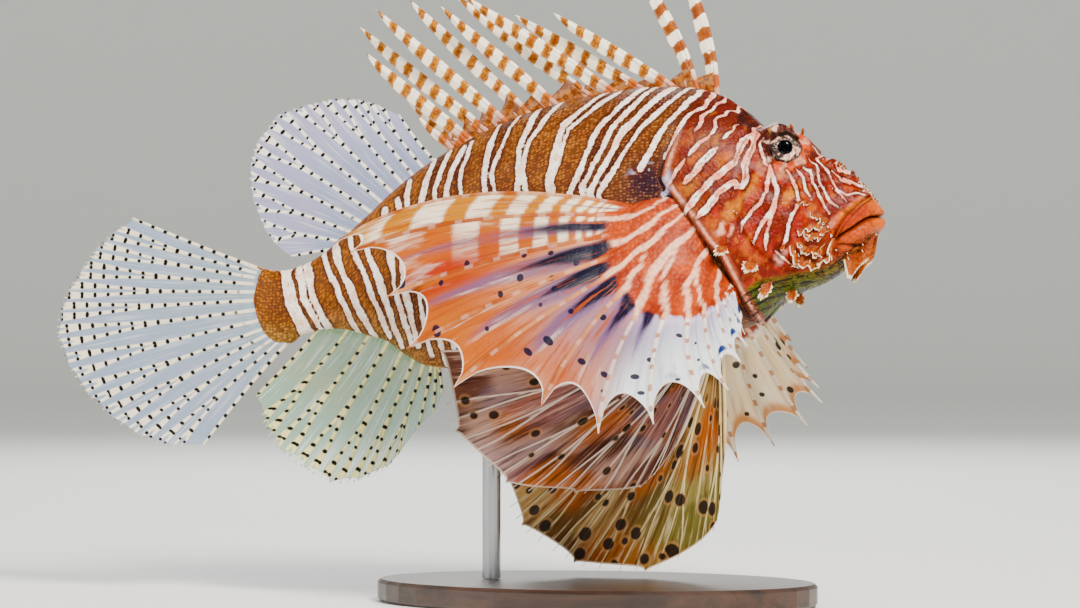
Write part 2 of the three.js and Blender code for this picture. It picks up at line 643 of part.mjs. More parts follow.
function spineWeb() {
  const [low, high] = [[], []];
  for (let i = 0; i < SPINES; i++) {
    for (const [share, rise] of i + 1 < SPINES ? [[0, 9], [0.5, 4]] : [[0, 5]]) {
      const x = mix(through(SPINE_X, i), through(SPINE_X, Math.min(i + 1, SPINES - 1)), share);
      const size = Math.min(1, through(SPINE_LENGTH, i) / 45);
      low.push([x, through(BACK, x) - 2]);
      high.push([x - rise * size * 0.5, through(BACK, x) + rise * size * 0.8]);
    }
  }
  const thick = 2 * MEMBRANE_HALF + 0.4;
  const shape = new THREE.Shape([...low, ...high.reverse()].map(([x, z]) => new THREE.Vector2(x, z)));
  const geometry = new THREE.ExtrudeGeometry(shape, { depth: thick, bevelEnabled: false });
  return solidOf(geometry.rotateX(Math.PI / 2).translate(0, thick / 2, 0));
}

const spines = Array.from({ length: SPINES }, (_, i) => dorsalSpine(i));
const spinyDorsal = largest(union([spineWeb(), ...spines]).subtract(bodyClearance));

// Colours
const COLOURS = {
  skin: ["#b4552a", 0.5],
  fin: ["#d9c8a6", 0.45],
  eye: ["#1c1c28", 0.1],
  wood: ["#3b2618", 0.45],
  steel: ["#b8bcc0", 0.3],
};
const materials = Object.fromEntries(
  Object.entries(COLOURS).map(([name, [color, roughness]]) => [
    name,
    new THREE.MeshStandardMaterial({ color, roughness, metalness: name === "steel" ? 0.9 : 0 }),
  ]),
);

function mesh(name, manifold, material) {
  const made = new THREE.Mesh(geometryOf(manifold), materials[material]);
  made.name = name;
  return made;
}

const fish = new THREE.Group();
fish.add(
  mesh("head", head, "skin"),
  mesh("lower_jaw", lowerJaw, "skin"),
  mesh("torso", largest(torso), "skin"),
  mesh("tail", largest(tail), "skin"),
  ...eyes.map((eye) => mesh(`eye_${eye.name}`, eye.ball, "eye")),
  mesh("dorsal_fin_spines", spinyDorsal, "fin"),
  ...fins.map((fin) => mesh(fin.name, fin.solid, "fin")),
);
fish.rotation.x = -radians(BANK_DEG);

// The stand: a flat oval base and one rod, which ends against the belly
const STAND = { x: 20, length: 156, width: 96, thick: 8, edge: 1.2, top: -97.5 };
const ROD = { x: -17, y: -2.1, radius: 3.2, length: 110 };

const standShape = new THREE.Shape().absellipse(
  0, 0, STAND.length / 2 - STAND.edge, STAND.width / 2 - STAND.edge, 0, 2 * Math.PI,
);
const baseGeometry = new THREE.ExtrudeGeometry(standShape, {
  depth: STAND.thick - 2 * STAND.edge,
  bevelThickness: STAND.edge,
  bevelSize: STAND.edge,
  bevelSegments: 1,
  curveSegments: 20,
});
const base = solidOf(baseGeometry.translate(STAND.x, 0, STAND.top - STAND.thick + STAND.edge));
const rodGeometry = new THREE.CylinderGeometry(ROD.radius, ROD.radius, ROD.length, 20).rotateX(Math.PI / 2);
const rod = largest(
  solidOf(rodGeometry)
    .translate([ROD.x, ROD.y, STAND.top + GAP + ROD.length / 2])
    .subtract(bodyClearance.rotate([-BANK_DEG, 0, 0])),
);

const lionfish = new THREE.Group();
lionfish.add(fish, mesh("stand_base", base, "wood"), mesh("stand_rod", rod, "steel"));
lionfish.position.set(-STAND.x, 0, STAND.thick - STAND.top);

export default lionfish;
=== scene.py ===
import math

import bpy
import numpy as np
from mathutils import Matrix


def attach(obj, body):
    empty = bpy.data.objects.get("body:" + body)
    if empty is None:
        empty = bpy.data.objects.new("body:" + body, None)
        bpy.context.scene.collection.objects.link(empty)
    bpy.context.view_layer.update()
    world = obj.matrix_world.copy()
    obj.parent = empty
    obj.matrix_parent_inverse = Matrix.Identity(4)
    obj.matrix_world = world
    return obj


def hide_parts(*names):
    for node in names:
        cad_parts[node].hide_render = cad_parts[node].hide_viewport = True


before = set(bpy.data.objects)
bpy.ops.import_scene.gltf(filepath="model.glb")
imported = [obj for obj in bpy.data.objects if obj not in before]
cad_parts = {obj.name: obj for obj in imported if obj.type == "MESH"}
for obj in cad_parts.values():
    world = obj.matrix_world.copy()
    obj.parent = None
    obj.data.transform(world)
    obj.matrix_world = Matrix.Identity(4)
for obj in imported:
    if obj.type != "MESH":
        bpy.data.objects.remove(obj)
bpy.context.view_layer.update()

# The fish is drawn in its own frame in millimetres: +X to the snout, +Y to its left, +Z up. It is then
# banked about X and lifted onto the stand, and everything is turned into metres.
BANK = math.radians(-5)
ORIGIN = np.array([-20.0, 0.0, 105.5])
DEEPER = 1.1
FAR_OFF = 99.0

# Body outline: [x, value] pairs from the tail root to the lips
BACK = [
    [-106.8, 3], [-106.3, 9], [-105, 12.2], [-101.5, 11.2], [-95, 10.6], [-87.5, 12.5], [-74.7, 20.3],
    [-64.5, 29.2], [-50.4, 41.9], [-37.7, 50.7], [-23, 58.4], [-8.8, 64.5], [5.6, 68.9], [20, 71.9],
    [38, 74.1], [52, 73.9], [63, 71.3], [72, 65.9], [79, 60.4], [88, 55], [99, 50.2], [108, 44.2],
    [114.5, 38.4], [118.6, 33], [120, 28.6],
]
BELLY = [
    [-106.8, 2.4], [-106.2, -3], [-104.2, -8], [-100.2, -13.2], [-95.5, -15.5], [-91, -15.4],
    [-86.8, -12.2], [-73.8, -10.4], [-63.3, -12.4], [-55.5, -14.6], [-48.8, -19.1], [-40.2, -23.2],
    [-21, -24.8], [-6.6, -25.2], [7.8, -24.5], [22, -22.6], [40, -19.4], [54, -16.3], [65, -12.8],
    [76, -8.6], [86, -0.6], [92.2, 2.4], [100.8, 5.6], [107, 9.8], [112.6, 15], [117, 20], [120, 26.6],
]
HALF_WIDTH = [
    [-106.8, 0.7], [-100, 3], [-88, 5], [-65, 8], [-36, 14], [0, 20.5], [30, 23.8], [52, 24.6],
    [70, 22.6], [83, 19.2], [96, 15], [108, 11.6], [115.5, 8.2], [120, 1.6],
]
WAIST = [[-106.8, 0.5], [0, 0.5], [60, 0.48], [86, 0.42], [108, 0.46], [120, 0.5]]
SECTION_POWER = 2.2
TAIL_END, LIP_END = -106.8, 120.0

# Lines on the head, in its side view
GILL_EDGE = [
    [58, 74], [51, 52], [48.2, 40], [52, 33.6], [58.9, 24.8], [64.3, 17.1], [68.9, 12.1], [73.1, 3.5],
    [77, -6],
]
MOUTH_LINE = [
    [124, 28.4], [119.6, 28.4], [117.1, 27.6], [114.3, 25.6], [111.5, 23.4], [109.1, 21.9], [106.2, 19.4],
]
CHIN_LINE = MOUTH_LINE + [[100, 13.5], [90, 11], [80, 9], [70, 3]]
THROAT_LINE = MOUTH_LINE + [[100, 13.5], [90, 7.5], [78, 1], [66, -6]]
LIP_TOP = [
    [121, 36.6], [117.9, 36.1], [115.7, 34.1], [112.8, 31.1], [110.4, 28.6], [108.6, 25.9], [106.6, 22.1],
    [105.2, 18.5],
]
LIP_FOLD = [[117.6, 34.2], [114.6, 31.4], [111.4, 27.8], [109.2, 24.8], [107.4, 21.2]]
LIP_LOW = [[123.1, 24.1], [120.5, 20.3], [117, 18.8], [113.8, 18], [110.3, 18.2], [106.5, 18.2]]
PREOPERCLE = [[77.5, 40.5], [74.2, 35.5], [73.8, 29], [76, 22.5], [80.5, 16.5], [86, 12], [93, 9]]
CHEEK_RIDGE = [[106, 37.5], [98, 37.6], [90, 36.6], [82, 38.3], [77.5, 40.5]]
SNOUT_RIDGE = [[96.5, 50.6], [101, 47.6], [106, 45.2], [111, 41]]
EYE = {"x": 88.0, "y": 9.8, "z": 50.2, "radius": 7.0}


def smoothstep(v):
    c = np.clip(v, 0, 1)
    return c * c * (3 - 2 * c)


def rise(v, start, width):
    """From 0 at start to 1 a width above it, with soft ends."""
    return smoothstep((v - start) / width)


def fall(v, end, width):
    """From 1 a width below end to 0 at it, with soft ends."""
    return smoothstep((end - v) / width)


def gauss(d, width):
    return np.exp(-((d / width) ** 2))


def mix(a, b, f):
    return a + (b - a) * f


def through(keys, x):
    """The value at x of a smooth curve through [x, value] pairs that never overshoots them."""
    table = np.asarray(keys, float)
    at, value = table[:, 0], table[:, 1]
    x = np.asarray(x, float)
    width = np.diff(at)
    slope = np.diff(value) / width
    tangent = np.empty(len(at))
    tangent[0], tangent[-1] = slope[0], slope[-1]
    before, after = slope[:-1], slope[1:]
    product = before * after
    tangent[1:-1] = np.where(product <= 0, 0, 2 * product / np.where(product <= 0, 1, before + after))
    inside = np.clip(x, at[0], at[-1])
    i = np.clip(np.searchsorted(at, inside, side="right") - 1, 0, len(at) - 2)
    f = (inside - at[i]) / width[i]
    climb = value[i + 1] - value[i]
    m0, m1 = tangent[i] * width[i], tangent[i + 1] * width[i]
    return value[i] + m0 * f + (3 * climb - 2 * m0 - m1) * f**2 + (m0 + m1 - 2 * climb) * f**3


def section(x):
    """The height of the body's waist, its reach above and below that, and its half width."""
    top, bottom = through(BACK, x), through(BELLY, x)
    waist = mix(bottom, top, through(WAIST, x))
    return waist, top - waist, waist - bottom, through(HALF_WIDTH, x)


def side_of(x, z):
    """How far the body's side stands from the middle plane at a point of its side view."""
    waist, up, down, half = section(x)
    reach = np.abs(z - waist) / np.where(z > waist, up, down)
    return half * (1 - np.minimum(reach, 1) ** SECTION_POWER) ** (1 / SECTION_POWER)


def to_world(points):
    p = np.asarray(points, float)
    c, s = math.cos(BANK), math.sin(BANK)
    turned = np.stack([p[:, 0], p[:, 1] * c - p[:, 2] * s, p[:, 1] * s + p[:, 2] * c], axis=1)
    return (turned + ORIGIN) / 1000


def linear(colour):
    """A colour like "#aabbcc" as light values, a little deeper because the tone curve softens it."""
    c = np.array([int(colour[i : i + 2], 16) for i in (1, 3, 5)]) / 255
    return np.where(c <= 0.04045, c / 12.92, ((c + 0.055) / 1.055) ** 2.4) ** DEEPER


def between(low, high, amount):
    return mix(linear(low), linear(high), amount[..., None])


def tones(base, *layers):
    """The base colours with layers laid over them, each a colour and an amount from 0 to 1."""
    for colour, amount in layers:
        base = mix(base, linear(colour), np.clip(amount, 0, 1)[..., None])
    return base


def hashed(*cells):
    """A repeatable scatter of numbers from 0 to 1 for whole-number cells."""
    total = sum(np.asarray(c, float) * k for c, k in zip(cells, (12.9898, 78.233, 37.719)))
    return np.modf(np.abs(np.sin(total) * 43758.5453))[0]


def wobble(x, z, size, seed=0.0):
    """Smooth noise from -1 to 1 whose bumps are about size across."""
    u, v = np.asarray(x) / size + 31.7 + seed * 17.3, np.asarray(z) / size + 57.1 - seed * 9.1
    i, j = np.floor(u), np.floor(v)
    f, g = smoothstep(u - i), smoothstep(v - j)
    corner = lambda a, b: hashed(i + a, j + b, seed)
    low = mix(corner(0, 0), corner(1, 0), f)
    high = mix(corner(0, 1), corner(1, 1), f)
    return 2 * mix(low, high, g) - 1


def drift(x, z, size, seed):
    """The same noise from 0 to 1."""
    return 0.5 + 0.5 * wobble(x, z, size, seed)


def stroke(line, x, z):
    """Distance to a polyline, which side of it a point lies on (+ to its left) and how far along it is."""
    line = np.asarray(line, float)
    best = np.full(np.shape(x), 1e9)
    side = np.ones(np.shape(x))
    along = np.zeros(np.shape(x))
    steps = np.hypot(*np.diff(line[:, :2], axis=0).T)
    total, run = steps.sum(), 0.0
    for a, b, step in zip(line[:-1], line[1:], steps):
        dx, dz = b[0] - a[0], b[1] - a[1]
        f = np.clip(((x - a[0]) * dx + (z - a[1]) * dz) / step**2, 0, 1)
        d = np.hypot(x - a[0] - f * dx, z - a[1] - f * dz)
        near = d < best
        best = np.where(near, d, best)
        side = np.where(near, np.sign(dx * (z - a[1]) - dz * (x - a[0])), side)
        along = np.where(near, (run + f * step) / total, along)
        run += step
    return best, side, along


def signed(line, x, z):
    """Distance to a polyline, above 0 on its left."""
    d, side, _ = stroke(line, x, z)
    return d * side


class Piece:
    """A mesh gathered from parts, with named values carried at its vertices."""

    def __init__(self, name):
        self.name = name
        self.points, self.faces, self.slots, self.values = [], [], [], {}
        self.count = 0

    def add(self, points, faces, slot=0, **values):
        for group in faces:
            self.faces.append(np.asarray(group, int) + self.count)
            self.slots.append(np.full(len(group), slot))
        for key, value in values.items():
            self.values.setdefault(key, []).append((self.count, np.asarray(value, float)))
        self.points.append(points)
        self.count += len(points)

    def build(self, materials, nodes, slot):
        mesh = bpy.data.meshes.new(self.name)
        mesh.vertices.add(self.count)
        mesh.vertices.foreach_set("co", to_world(np.concatenate(self.points)).ravel())
        sizes = np.concatenate([np.full(len(f), f.shape[1]) for f in self.faces])
        loops = np.concatenate([f.ravel() for f in self.faces])
        mesh.loops.add(len(loops))
        mesh.loops.foreach_set("vertex_index", loops)
        mesh.polygons.add(len(sizes))
        mesh.polygons.foreach_set("loop_start", np.concatenate([[0], np.cumsum(sizes)[:-1]]))
        mesh.polygons.foreach_set("material_index", np.concatenate(self.slots))
        mesh.polygons.foreach_set("use_smooth", np.full(len(sizes), True))
        for key, batches in self.values.items():
            wide = batches[0][1].ndim == 2
            data = np.zeros((self.count, 3) if wide else self.count)
            for start, value in batches:
                data[start : start + len(value)] = value
            layer = mesh.attributes.new(key, "FLOAT_VECTOR" if wide else "FLOAT", "POINT")
            layer.data.foreach_set("vector" if wide else "value", data.ravel())
        for material in materials:
            mesh.materials.append(material)
        mesh.update(calc_edges=True)
        mesh.validate()
        piece = bpy.data.objects.new(self.name, mesh)
        bpy.context.scene.collection.objects.link(piece)
        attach(piece, "root")
        if nodes:
            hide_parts(*nodes)


def grid_faces(rows, columns, wrap=False):
    """Quads over a grid whose columns may close on themselves."""
    across = columns if wrap else columns - 1
    r, c = np.meshgrid(np.arange(rows - 1), np.arange(across), indexing="ij")
    n = (c + 1) % columns
    corners = [r * columns + c, r * columns + n, (r + 1) * columns + n, (r + 1) * columns + c]
    return np.stack(corners, -1).reshape(-1, 4)


def fan(ring, centre):
    return np.stack([np.full(len(ring), centre), ring, np.roll(ring, -1)], 1)


def tube_faces(rows, around):
    """Faces of a tube closed at both ends by a middle point, which come after all the rings."""
    ring = np.arange(around)
    last = ring[::-1] + (rows - 1) * around
    middle = rows * around
    return [grid_faces(rows, around, wrap=True), fan(ring, middle), fan(last, middle + 1)]


def unit(v):
    return v / np.maximum(np.linalg.norm(v, axis=-1, keepdims=True), 1e-12)


def tube(piece, path, radii, sides, flat, towards, **values):
    """A tapering tube with closed ends. flat squashes it across the way that towards points."""
    along = unit(np.gradient(path, axis=0))
    side = np.cross(np.asarray(towards, float), along)
    spare = np.cross([0, 1, 0.3], along)
    side = unit(np.where(np.linalg.norm(side, axis=1, keepdims=True) < 0.05, spare, side))
    other = np.cross(along, side)
    angle = np.arange(sides) * 2 * math.pi / sides
    ring = np.cos(angle)[:, None] * side[:, None] + flat * np.sin(angle)[:, None] * other[:, None]
    points = (path[:, None] + ring * radii[:, None, None]).reshape(-1, 3)
    spread = {k: np.concatenate([np.repeat(v, sides, axis=0), v[:1], v[-1:]]) for k, v in values.items()}
    piece.add(np.concatenate([points, path[:1], path[-1:]]), tube_faces(len(path), sides), **spread)


def closed_sheet(piece, sheet, thick, turned=False, **values):
    """A thin sheet with two faces and a rim all round. Its values lie on the same grid as its points."""
    count, levels = sheet.shape[:2]
    n = count * levels
    quads = grid_faces(count, levels)
    rim = np.concatenate([
        np.arange(levels), np.arange(1, count) * levels + levels - 1,
        (count - 1) * levels + np.arange(levels - 2, -1, -1), np.arange(count - 2, 0, -1) * levels,
    ])
    following = np.roll(rim, -1)
    if turned:
        quads = quads[:, ::-1]
    faces = [quads, quads[:, ::-1] + n, np.stack([rim, rim + n, following + n, following], 1)]
    both = {k: np.concatenate([v.reshape(n, *v.shape[2:])] * 2) for k, v in values.items()}
    piece.add(np.concatenate([sheet + thick, sheet - thick]).reshape(-1, 3), faces, **both)


class Paint:
    """A material worked out step by step from values that the mesh carries. shade is its colour so far."""

    def __init__(self, name, shade="#ffffff"):
        self.material = bpy.data.materials.new(name)
        self.material.use_nodes = True
        self.tree = self.material.node_tree
        self.tree.nodes.clear()
        self.output = self.node("ShaderNodeOutputMaterial")
        self.shade = shade

    def node(self, kind, **settings):
        made = self.tree.nodes.new(kind)
        for key, value in settings.items():
            setattr(made, key, value)
        return made

    def put(self, value, socket):
        if isinstance(value, bpy.types.NodeSocket):
            self.tree.links.new(value, socket)
        elif isinstance(value, str):
            socket.default_value = (*linear(value), 1)
        else:
            socket.default_value = value

    def plug(self, made, **values):
        """Puts values on a node's sockets by name, with _ for a space."""
        for key, value in values.items():
            self.put(value, made.inputs[key.replace("_", " ")])

    def fill(self, made, *values):
        """Puts values on a node's first sockets and gives its first output."""
        for value, socket in zip(values, made.inputs):
            self.put(value, socket)
        return made.outputs[0]

    def read(self, name, output="Fac"):
        return self.node("ShaderNodeAttribute", attribute_name=name).outputs[output]

    def values(self, names):
        return [self.read(name) for name in names.split()]

    def place(self):
        """The point's place on the model in millimetres."""
        scaled = self.node("ShaderNodeVectorMath", operation="SCALE")
        self.put(self.node("ShaderNodeTexCoord").outputs["Object"], scaled.inputs[0])
        self.plug(scaled, Scale=1000)
        return scaled.outputs[0]

    def math(self, operation, *values):
        return self.fill(self.node("ShaderNodeMath", operation=operation), *values)

    def chain(self, operation, values):
        total = values[0]
        for value in values[1:]:
            total = self.math(operation, total, value)
        return total

    def add(self, *values):
        return self.chain("ADD", values)

    def times(self, *values):
        return self.chain("MULTIPLY", values)

    def most(self, *values):
        return self.chain("MAXIMUM", values)

    def less(self, a, b):
        return self.math("SUBTRACT", a, b)

    def from_half(self, value):
        """How far a value is from 0.5."""
        return self.math("ABSOLUTE", self.less(value, 0.5))

    def ramp(self, value, low, high):
        made = self.node("ShaderNodeMapRange", interpolation_type="SMOOTHSTEP")
        return self.fill(made, value, low, high)

    def join(self, x, y, z=0.0):
        return self.fill(self.node("ShaderNodeCombineXYZ"), x, y, z)

    def stretch(self, vector, by):
        return self.fill(self.node("ShaderNodeVectorMath", operation="MULTIPLY"), vector, by)

    def shift(self, vector, by):
        return self.fill(self.node("ShaderNodeVectorMath", operation="ADD"), vector, self.join(by, by, by))

    def noise(self, vector, scale=1.0, detail=3.0, roughness=0.5):
        made = self.node("ShaderNodeTexNoise")
        self.plug(made, Vector=vector, Scale=scale, Detail=detail, Roughness=roughness)
        return made.outputs["Fac"]

    def cells(self, vector, scale, randomness, dimensions="3D"):
        made = self.node("ShaderNodeTexVoronoi", voronoi_dimensions=dimensions)
        self.plug(made, Vector=vector, Scale=scale, Randomness=randomness)
        return made.outputs["Distance"], made.outputs["Color"]

    def mix(self, factor, a, b):
        made = self.node("ShaderNodeMix", data_type="RGBA")
        for value, socket in zip((factor, a, b), (made.inputs[0], made.inputs[6], made.inputs[7])):
            self.put(value, socket)
        return made.outputs[2]

    def lay(self, colour, *factors):
        """Lays a colour over the shade, as strongly as the product of the factors says."""
        self.shade = self.mix(self.times(*factors), self.shade, colour)

    def bump(self, height, distance):
        made = self.node("ShaderNodeBump")
        self.plug(made, Height=height, Strength=1.0, Distance=distance / 1000)
        return made.outputs[0]

    def principled(self, roughness, normal=None, **extra):
        made = self.node("ShaderNodeBsdfPrincipled")
        self.plug(made, Base_Color=self.shade, Roughness=roughness, **extra)
        if normal is not None:
            self.plug(made, Normal=normal)
        return made.outputs[0]

    def moist(self, relief, depth, roughness=0.4):
        """Skin with a faint shine, raised by a relief."""
        shine = dict(Specular_IOR_Level=0.12, Coat_Weight=0.03, Coat_Roughness=0.2)
        return self.principled(roughness, self.bump(relief, depth), **shine)

    def glow(self, amount, body):
        """Lets light from behind through the body."""
        behind = self.fill(self.node("ShaderNodeBsdfTranslucent"), self.shade)
        return self.blend(amount, body, behind)

    def blend(self, factor, a, b):
        return self.fill(self.node("ShaderNodeMixShader"), factor, a, b)

    def finish(self, shader):
        self.tree.links.new(shader, self.output.inputs["Surface"])
        return self.material


# Camera: level, from the fish's right and a little ahead, as far off as the photograph's lens asks
CAMERA_TURN = math.radians(15)
CAMERA_REACH = 1.3
CAMERA_AIM_X, CAMERA_HEIGHT = -0.02, 0.1041
SENSOR_WIDTH, LENS = 36, 124.13


def add_camera():
    data = bpy.data.cameras.new("camera")
    data.sensor_width, data.lens, data.clip_end = SENSOR_WIDTH, LENS, 20
    camera = bpy.data.objects.new("camera", data)
    side, back = CAMERA_REACH * math.sin(CAMERA_TURN), CAMERA_REACH * math.cos(CAMERA_TURN)
    camera.location = (CAMERA_AIM_X + side, -back, CAMERA_HEIGHT)
    camera.rotation_euler = (math.radians(90), 0, CAMERA_TURN)
    bpy.context.scene.collection.objects.link(camera)
    bpy.context.scene.camera = camera


# Lights: name, place, what it points at, width, power, colour
LIGHTS = [
    ("key", (0.75, -0.95, 1.15), (0.02, 0, 0.12), 0.5, 58, "#fff6ea"),
    ("fill", (-1.0, -0.8, 0.55), (-0.02, 0, 0.1), 0.9, 9, "#f4f7ff"),
    ("back", (-0.3, 1.1, 0.9), (-0.02, 0, 0.12), 0.9, 15, "#ffffff"),
]
SURROUND, SURROUND_STRENGTH = (0.92, 0.92, 0.92, 1), 0.52


def area_light(name, place, target, size, power, colour):
    data = bpy.data.lights.new(name, "AREA")
    data.shape, data.size, data.energy, data.color = "DISK", size, power, linear(colour)
    light = bpy.data.objects.new(name, data)
    light.location = place
    away = unit(np.array(place) - np.array(target))
    light.rotation_euler = (math.acos(away[2]), 0, math.atan2(away[1], away[0]) + math.pi / 2)
    bpy.context.scene.collection.objects.link(light)


def add_surround():
    world = bpy.data.worlds.new("studio")
    world.use_nodes = True
    background = world.node_tree.nodes["Background"]
    background.inputs["Color"].default_value = SURROUND
    background.inputs["Strength"].default_value = SURROUND_STRENGTH
    bpy.context.scene.world = world


# The floor: a pale sweep that turns up behind and on every side, far from the model
FLOOR_REACH, FLOOR_BEND, FLOOR_TOP = 3.2, 0.8, 3.2


def stage_floor():
    around = 96
    curve = np.linspace(0, 1, 12)[1:] * math.pi / 2
    outer = FLOOR_REACH + FLOOR_BEND
    level = np.linspace(0.4, FLOOR_REACH, 10)
    radius = np.concatenate([[0.0], level, FLOOR_REACH + FLOOR_BEND * np.sin(curve), [outer]])
    height = np.concatenate([[0.0], 0 * level, FLOOR_BEND * (1 - np.cos(curve)), [FLOOR_TOP]])
    turn = np.arange(around) * 2 * math.pi / around
    ring = np.stack([np.cos(turn), np.sin(turn), 0 * turn], -1)
    points = (radius[:, None, None] * ring + height[:, None, None] * [0, 0, 1]).reshape(-1, 3)
    mesh = bpy.data.meshes.new("floor")
    faces = grid_faces(len(radius), around, wrap=True)[:, ::-1]
    mesh.from_pydata(points.tolist(), [], faces.tolist())
    mesh.polygons.foreach_set("use_smooth", np.full(len(faces), True))
    floor = bpy.data.objects.new("floor", mesh)
    bpy.context.scene.collection.objects.link(floor)
    paint = Paint("floor", "#eef0ee")
    mesh.materials.append(paint.finish(paint.principled(0.85)))


add_camera()
for light in LIGHTS:
    area_light(*light)
add_surround()
stage_floor()


# Skin: one surface over head, jaw, trunk and tail
EYE_AXIS = unit(np.array([0.22, 0.93, 0.22]))
# Bony knobs: nasal, before the eye, over the cheek and on the nape, as x, z, height, radius
KNOBS = [
    (103.6, 46.8, 1.2, 1.5), (99.5, 45.5, 0.7, 1.5), (96.8, 44, 0.8, 1.3), (100.8, 33.2, 0.8, 1.6),
    (97.3, 32.8, 0.8, 1.5), (93.5, 30.3, 0.6, 1.5), (102.5, 28.5, 0.8, 1.4), (98.3, 26, 0.7, 1.6),
    (109.3, 43.6, 0.9, 1.0), (113.6, 39.6, 0.6, 1.2), (78.6, 56.5, 0.9, 1.5), (74.6, 57.6, 0.7, 1.5),
    (96, 18.4, 1.1, 2.6), (101.5, 20.6, 1.1, 2.4), (71, 45, 0.4, 2), (66, 33, 0.5, 2.4),
    (76, 31, 0.35, 2.2), (84.5, 31.5, 0.4, 2.4), (90, 26, 0.35, 2.5), (80, 24, 0.35, 2.2),
]
NOSTRILS = ((105.6, 45.4, 0.75), (109.9, 42.2, 0.6))


def stations(count):
    """Places along the body, closer together on the head and where the outline turns in."""
    x = np.linspace(TAIL_END, LIP_END, 6001)
    dense = mix(1.0, 2.0, rise(x, 40, 25))
    step = np.diff(x)
    slope = sum(np.abs(np.diff(through(k, x)) / step) ** 2 for k in (BACK, BELLY, HALF_WIDTH))
    weight = np.sqrt(1 + slope) * (dense[1:] + dense[:-1]) / 2 * step
    run = np.concatenate([[0], np.cumsum(weight)])
    return np.interp(np.linspace(0, run[-1], count), run, x)


def bone_relief(x, z, y, above):
    """Gill cover, preopercle, the stay under the eye and the crown."""
    # The gill cover's free edge is a rounded rim with a drop behind it
    s = signed(GILL_EDGE, x, z)
    low = fall(z, 66, 14) * rise(x, 40, 8)
    h = low * np.where(s > 0, 1.5 * gauss(s, 10) + 0.5 * gauss(s - 1.1, 0.9), 0)
    h += low * np.where(s <= 0, 1.5 * smoothstep(1 + s / 0.55) - 0.9 * gauss(s + 1.0, 0.9), 0)
    # The preopercle is a ridge with a groove behind
    s = signed(PREOPERCLE, x, z)
    h += 0.95 * gauss(s - 0.6, 1.1) - 0.5 * gauss(s + 1.2, 0.9)
    # The bony stay under the eye and the ridge of the snout are rough with small spines
    d, _, along = stroke(CHEEK_RIDGE, x, z)
    h += (0.8 + 0.25 * np.sin(along * 60)) * gauss(d, 1.15) * fall(x, 107, 4)
    d, _, along = stroke(SNOUT_RIDGE, x, z)
    h += (0.65 + 0.2 * np.sin(along * 34)) * gauss(d, 0.9)
    # Hollow between the eyes and the two low ridges of the nape
    top = rise(above, 0.55, 0.3)
    h -= top * 2.2 * gauss(y, 4.2) * gauss(x - 89, 9)
    h += top * gauss(x - 69, 9) * (1.1 * gauss(np.abs(y) - 6.3, 1.6) - 0.5 * gauss(y, 4))
    return h


def mouth_relief(x, z):
    """Lips, the upper jaw's plate, the mouth's cleft and the folds that run back from the lower lip."""
    m = -signed(MOUTH_LINE, x, z)
    reach = rise(x, 105.6, 1.6)
    thick = mix(0.75, 1.25, rise(x, 106, 10))
    h = reach * thick * (gauss(m - 2.1, 1.8) + 1.25 * gauss(m + 2.4, 2.1))
    h -= reach * 2.5 * gauss(m, 0.4)
    s = -signed(LIP_TOP, x, z)
    h -= 1.1 * gauss(s - 0.2, 0.45) * rise(x, 104, 1.5)
    h -= 0.9 * gauss(stroke(LIP_FOLD, x, z)[0], 0.4)
    h += 0.7 * gauss(s + 1.4, 1.1) * rise(x, 104, 2)
    h -= 0.7 * gauss(stroke(LIP_LOW, x, z)[0], 0.5) * rise(x, 106, 2)
    s = signed(THROAT_LINE, x, z)
    h += rise(s, 7.5, 2) * rise(x, 66, 10) * 0.3 * np.sin(s * 3.4 + 1.6 * wobble(x, z, 8, 3))
    return h


def head_relief(x, z, y, above):
    """How far the head's surface stands out from the plain body, at a point of the side view."""
    h = bone_relief(x, z, y, above) + mouth_relief(x, z)
    for px, pz, height, radius in KNOBS:
        h += height * gauss(np.hypot(x - px, z - pz), radius)
    # Nostrils: a small rim round a hole
    for px, pz, size in NOSTRILS:
        d = np.hypot(x - px, z - pz)
        h += 0.8 * gauss(d - size * 1.5, 0.4) - 1.0 * gauss(d, size)
    # A rough, warty face
    h += rise(x, 84, 12) * (0.16 * wobble(x, z, 1.9, 5) + 0.1 * wobble(x, z, 0.95, 8))
    return h + 0.14 * rise(x, 60, 10) * wobble(x, z, 3.2, 2)


def eye_frame(side):
    """An eye's centre and the way it looks."""
    return np.array([EYE["x"], side * EYE["y"], EYE["z"]]), EYE_AXIS * [1, side, 1]


def add_orbit(points, side):
    """Raise the skin round an eye into a rim that holds the ball, and tuck it in under the ball."""
    centre, axis = eye_frame(side)
    reach, rim, tuck, soft = 16, 7.3, 1.1, 0.7
    d = points - centre
    out = d @ axis
    flat = d - out[:, None] * axis
    rho = np.linalg.norm(flat, axis=1)
    near = (rho < reach) & (points[:, 1] * side > -1.5) & (out > -12)
    turn = np.arctan2(flat[:, 2], flat[:, 0])
    up = np.sin(turn)
    crest = 2.9 + 2.3 * rise(up, 0.1, 0.7) + 0.2 * np.sin(turn * 9 + 1) + 0.16 * np.sin(turn * 17)
    ball = np.sqrt(np.maximum(EYE["radius"] ** 2 - rho**2, 0))
    outer = crest - (np.maximum(rho - rim, 0) / 2.3) ** 2 * 2.2
    lid = 5.35 - 0.75 * rise(up, 0.25, 0.6) - 0.22 * np.abs(np.sin(turn * 4.5))
    inner = mix(ball - tuck, np.maximum(crest, ball + 0.25), rise(rho, lid, 0.6))
    target = np.where(rho < rim, inner, outer)
    raised = out + soft * np.logaddexp(0, (target - out) / soft)
    raised = np.where(rho < 6.9, np.where(rho < lid, np.minimum(out, ball - tuck), target), raised)
    grip = np.where(near, fall(rho, reach, 3), 0)
    points += (grip * (raised - out))[:, None] * axis
    return points, np.where(near, rho, FAR_OFF), turn


